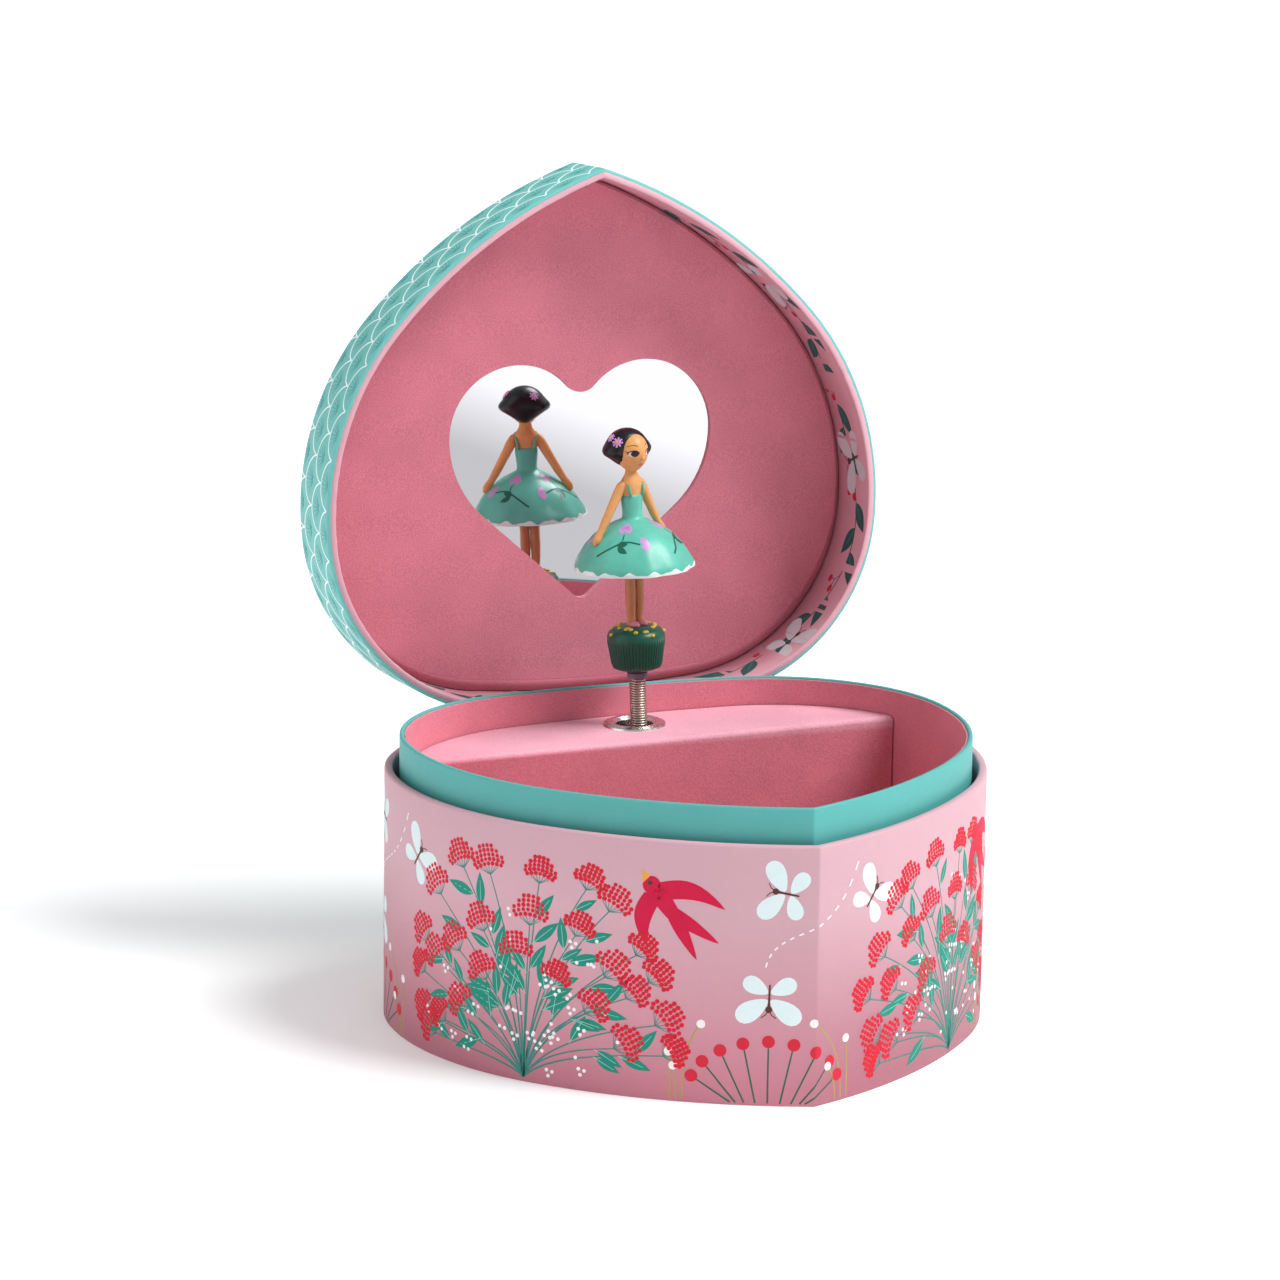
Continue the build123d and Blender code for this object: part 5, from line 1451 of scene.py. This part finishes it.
            main = [at(-177, 33.2), at(-162, 35.6), at(-146, 36.9), at(-122, 36.3)]
            fork = [at(-150, 36.5), at(-147, 37.4), at(-147, 38.4)]
            stalks.ribbon(bow(*main[:3], 6), 0.42)
            stalks.ribbon((main[2], main[2].lerp(main[3], 0.5) + Vector((0, 0.25)), main[3]), 0.36)
            stalks.ribbon(fork, 0.36)
            stalks.leaf(at(-152, 35.6), -0.5, 2.6, 1.3)
            stalks.leaf(at(-153, 35.9), 0.25, 2.6, 1.1)
            for middle, heading in ((at(-147, 39.0), 1.57), (at(-119, 36.3), 0.1)):
                squeeze = 10 / skirt_radius(middle.y)
                for k in range(7):
                    a = heading - 1.25 + 2.5 * k / 6
                    petal = Vector((math.cos(a) * squeeze, math.sin(a) * 0.75))
                    lilac.disc(middle + petal * 0.9, 0.62, 12, squeeze)
                    lilac.disc(middle + petal * 1.6, 0.42, 10, squeeze)
        for label, drawing, finish_ink, level in (
                ("hem", hem, enamel("white hem enamel", (0.84, 0.92, 0.91)), 3.0),
                ("stalks", stalks, enamel("dark stalk enamel", (0.01, 0.13, 0.08)), 1.2),
                ("flowers", lilac, enamel("lilac enamel", LILAC), 1.5)):
            self.print_on("skirt_" + label, drawing, place, finish_ink, "dress_paint", level)

    def head(self, skin):
        """Face, painted features and bobbed hair with flowers."""
        def narrowed(v):
            chin = max(0.0, -v.z)
            cheek = 1 - 0.26 * chin ** 1.6
            return Vector((v.x * cheek, v.y * (1 - 0.12 * chin), v.z))

        face = ellipsoid(HEAD_PLACE, (4.35, 4.5, 5.2), 40, 28, narrowed)
        nose = ellipsoid((0, -4.75, 57.5), (0.45, 0.55, 0.7), 12, 8)
        self.piece("doll_face", [face, nose], skin, "skin_paint")
        tree = BVHTree.FromPolygons(face[0], face[1])

        def place(u, v, lift):
            hit = tree.ray_cast(Vector((u, -20, v)), Vector((0, 1, 0)))
            if hit[0] is None:
                raise RuntimeError("a face detail misses the face")
            return hit[0] + hit[1] * (lift if hit[1].y < 0 else -lift)

        whites, lids, lips = Drawing(), Drawing(), Drawing()
        for side in (-1, 1):
            x = side * 2.35
            whites.disc((x, 58.95), 0.78, 22, 1.5, side * 0.12)
            lids.disc((x + 0.2, 59.0), 0.8, 20, 1.15)
            arc = [(x + 1.25 * math.cos(a), 58.9 + 0.92 * math.sin(a)) for a in
                   [math.pi * (0.02 + 0.96 * k / 10) for k in range(11)]]
            lids.ribbon(arc, 0.24)
            lids.ribbon([(x + side * 1.05, 59.2), (x + side * 1.45, 59.7)], 0.2, 0.1)
            brow = [(x + side * (-1.1 + 0.42 * k), 60.9 + 0.3 * math.sin(math.pi * k / 5)) for k in range(6)]
            lids.ribbon(brow, 0.16, 0.08)
        lips.disc((-0.34, 55.95), 0.34, 12, 1.4, 0.2)
        lips.disc((0.34, 55.95), 0.34, 12, 1.4, -0.2)
        lips.disc((0, 55.7), 0.36, 12, 1.5)
        for label, drawing, finish_ink, level in (
                ("whites", whites, enamel("eye white", (0.80, 0.76, 0.70)), 0.8),
                ("lids", lids, enamel("eye dark", (0.02, 0.012, 0.012)), 1.4),
                ("lips", lips, enamel("lip enamel", (0.78, 0.16, 0.14)), 1.0)):
            self.print_on("doll_eye_and_mouth_" + label, drawing, place, finish_ink, "skin_paint", level)

        def bob(v):
            side = 1 + 0.26 * math.exp(-((v.z + 0.12) / 0.36) ** 2)
            tuck = 1 - 0.45 * max(0.0, -v.z - 0.3)
            return Vector((v.x * side * tuck, v.y, v.z))

        cap = ellipsoid(HAIR_PLACE, (5.75, 5.3, 5.15), 56, 36, bob)
        for point in cap[0]:
            line = -2.3 + 0.35 * max(0.0, 59 - point.z) - 0.12 * point.x
            point.y = max(point.y, line + 0.12 * (point.y - line))
        self.piece("doll_hair", [cap], enamel("hair enamel", (0.006, 0.005, 0.007), 0.3), "hair_paint",
                   "doll_head")
        hair = BVHTree.FromPolygons(cap[0], cap[1])
        petals, hearts = [], []
        for near, size in ((Vector((-5.2, -0.9, 62.2)), 1.0), (Vector((-5.4, 2.0, 63.4)), 0.8),
                           (Vector((3.4, 6.0, 63.2)), 0.9)):
            middle, out = hair.find_nearest(near)[:2]
            if out.dot(middle - Vector(HAIR_PLACE)) < 0:
                out = -out
            side = out.cross(Vector((0, 0, 1))).normalized()
            up = side.cross(out).normalized()
            for k in range(8):
                a = math.pi * k / 4
                for reach, radius in ((0.62, 0.4), (1.2, 0.3)):
                    place_at = middle + (side * math.cos(a) + up * math.sin(a)) * reach * size
                    petals.append(ellipsoid(place_at + out * 0.12, (radius * size,) * 3, 10, 6))
            hearts.append(ellipsoid(middle + out * 0.3, (0.4 * size,) * 3, 10, 6))
        self.piece("hair_flowers", petals, enamel("lilac enamel", LILAC), "hair_paint")
        self.piece("hair_flower_hearts", hearts, enamel("yellow dots", YELLOW), "hair_paint")


class MUSICBOX_OT_movement(bpy.types.Operator):
    """Finishes of the wind-up movement, its key and the spring motor."""
    bl_idname = "musicbox.movement"
    bl_label = "Movement"

    def execute(self, context):
        looks = (
            (metal("cast zinc", (0.56, 0.56, 0.58), 0.42),
             ("bedplate", "governor_frame", "barrel_drum", "cylinder_pinion", "cylinder_gear")),
            (metal("bright steel", (0.66, 0.65, 0.64), 0.26),
             ("barrel_cover", "winding_arbor", "movement_screws", "screw_washers", "cylinder_arbor",
              "governor_worm", "comb", "comb_screws")),
            (metal("blued spring", (0.30, 0.31, 0.36), 0.32), ("mainspring", "clutch_spring")),
            (metal("brass", (0.80, 0.58, 0.26), 0.3), ("cylinder", "spindle_plug")),
            (metal("nickel plate", (0.80, 0.78, 0.76), 0.18), ("winding_key",)),
            (finish("white plastic", (0.80, 0.80, 0.76), fine=600, fine_mix=0.06, rough=0.4, relief=0.05),
             ("governor_wheel", "governor_fan")),
        )
        for material, nodes in looks:
            for node in nodes:
                wear(node, material)
        return {"FINISHED"}


# ------------------------------------------------------------------ stage
WORLD_LIGHT = 0.45
LENS = 140.73
CAMERA_PLACE = Vector((-0.45702, -1.13794, 0.38084))
CAMERA_RIGHT = Vector((0.93438, -0.35602, 0.01364))
CAMERA_UP = Vector((0.06703, 0.21325, 0.97470))


class MUSICBOX_OT_stage(bpy.types.Operator):
    """Camera, lights and a white floor."""
    bl_idname = "musicbox.stage"
    bl_label = "Stage"

    def sun(self, name, towards, spread, strength):
        """A wide soft light that shines from the given direction."""
        lamp = bpy.data.lights.new(name, "SUN")
        lamp.angle = math.radians(spread)
        lamp.energy = strength
        obj = bpy.data.objects.new(name, lamp)
        obj.rotation_euler = Vector(towards).to_track_quat("Z", "Y").to_euler()
        bpy.context.scene.collection.objects.link(obj)

    def card_finish(self):
        """Glow of a card in front of the box that its mirror sees: grey on one side, white on the other."""
        made = bpy.data.materials.new("grey card")
        made.use_nodes = True
        shader = made.node_tree.nodes["Principled BSDF"]
        glow = object_ramp(made.node_tree, "X", 0.295, 0.39, 0.64, 1.14)
        made.node_tree.links.new(glow, shader.inputs["Emission Strength"])
        shader.inputs["Emission Color"].default_value = (0.98, 0.97, 1.0, 1)
        shader.inputs["Base Color"].default_value = (0, 0, 0, 1)
        shader.inputs["Specular IOR Level"].default_value = 0.0
        return made

    def studio_world(self):
        """White surroundings that light the box less than the camera sees them."""
        world = bpy.data.worlds.new("studio")
        world.use_nodes = True
        tree = world.node_tree
        background = tree.nodes["Background"]
        path = add_node(tree, "ShaderNodeLightPath")
        level = add_node(tree, "ShaderNodeMapRange", {"Value": path.outputs["Is Camera Ray"],
                                                      "To Min": WORLD_LIGHT, "To Max": 1.0})
        tree.links.new(level.outputs["Result"], background.inputs["Strength"])
        background.inputs["Color"].default_value = (1, 1, 1, 1)
        return world

    def flat(self, name, left, right, front, back, look):
        """A level rectangle of the stage."""
        corners = [(left, front, 0), (right, front, 0), (right, back, 0), (left, back, 0)]
        obj = new_mesh(name, corners, [(0, 1, 2, 3)], look)
        return obj

    def execute(self, context):
        scene = context.scene
        scene.view_settings.view_transform = "Standard"
        scene.view_settings.look = "None"
        scene.world = self.studio_world()
        white = finish("white floor", (0.95, 0.95, 0.96), shade=(0.94, 0.94, 0.95), rough=0.7, relief=0.0,
                       Emission_Color=(1, 1, 1, 1), Emission_Strength=0.16)
        floor = self.flat("floor", -40, 40, -40, 40, white)
        floor.location.z = -0.1 * MM
        self.sun("key light", (0.56, -0.34, 0.82), 32, 3.25)
        self.sun("left light", (-0.95, 0.1, 0.4), 60, 0.6)
        card = self.flat("grey card", -1, 1.6, -1.6, -0.42, self.card_finish())
        card.visible_camera = False
        card.visible_shadow = False
        camera = bpy.data.cameras.new("camera")
        camera.lens = LENS
        camera.sensor_width = 36.0
        camera.clip_start = 0.05
        camera.clip_end = 20
        right, up = CAMERA_RIGHT.normalized(), CAMERA_UP.normalized()
        turn = Matrix((right, up, right.cross(up))).transposed().to_4x4()
        obj = bpy.data.objects.new("camera", camera)
        obj.matrix_world = Matrix.Translation(CAMERA_PLACE) @ turn
        scene.collection.objects.link(obj)
        scene.camera = obj
        return {"FINISHED"}


class MusicBoxSettings(bpy.types.PropertyGroup):
    """Everything a user would change."""
    colors: PointerProperty(name="Colours", description="Colours of the papers, flock and doll",
                            type=MusicBoxColors)
    sizes: PointerProperty(name="Sizes", description="Sizes of the looks", type=MusicBoxSizes)


PIECES = (MUSICBOX_OT_walls, MUSICBOX_OT_collar, MUSICBOX_OT_wall_print, MUSICBOX_OT_lid,
          MUSICBOX_OT_lid_print, MUSICBOX_OT_hinge, MUSICBOX_OT_spring, MUSICBOX_OT_doll,
          MUSICBOX_OT_movement, MUSICBOX_OT_stage)


class MUSICBOX_PT_panel(bpy.types.Panel):
    """Lists the pieces and the settings in the sidebar."""
    bl_label = "Music box"
    bl_idname = "MUSICBOX_PT_panel"
    bl_space_type = "VIEW_3D"
    bl_region_type = "UI"
    bl_category = "Music box"

    def draw(self, context):
        for kind in PIECES:
            self.layout.operator(kind.bl_idname, text=kind.bl_label)
        for group in (settings().colors, settings().sizes):
            for key in group.__annotations__:
                self.layout.prop(group, key)


CLASSES = (MusicBoxColors, MusicBoxSizes, MusicBoxSettings) + PIECES + (MUSICBOX_PT_panel,)


def register():
    for kind in CLASSES:
        bpy.utils.register_class(kind)
    bpy.types.Scene.music_box = PointerProperty(type=MusicBoxSettings)


def unregister():
    del bpy.types.Scene.music_box
    for kind in reversed(CLASSES):
        bpy.utils.unregister_class(kind)


def main():
    """Builds every piece in order."""
    register()
    for kind in PIECES:
        group, operator = kind.bl_idname.split(".")
        if getattr(getattr(bpy.ops, group), operator)() != {"FINISHED"}:
            raise RuntimeError(f"{kind.bl_label} did not finish")
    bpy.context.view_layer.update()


if __name__ == "__main__":
    main()
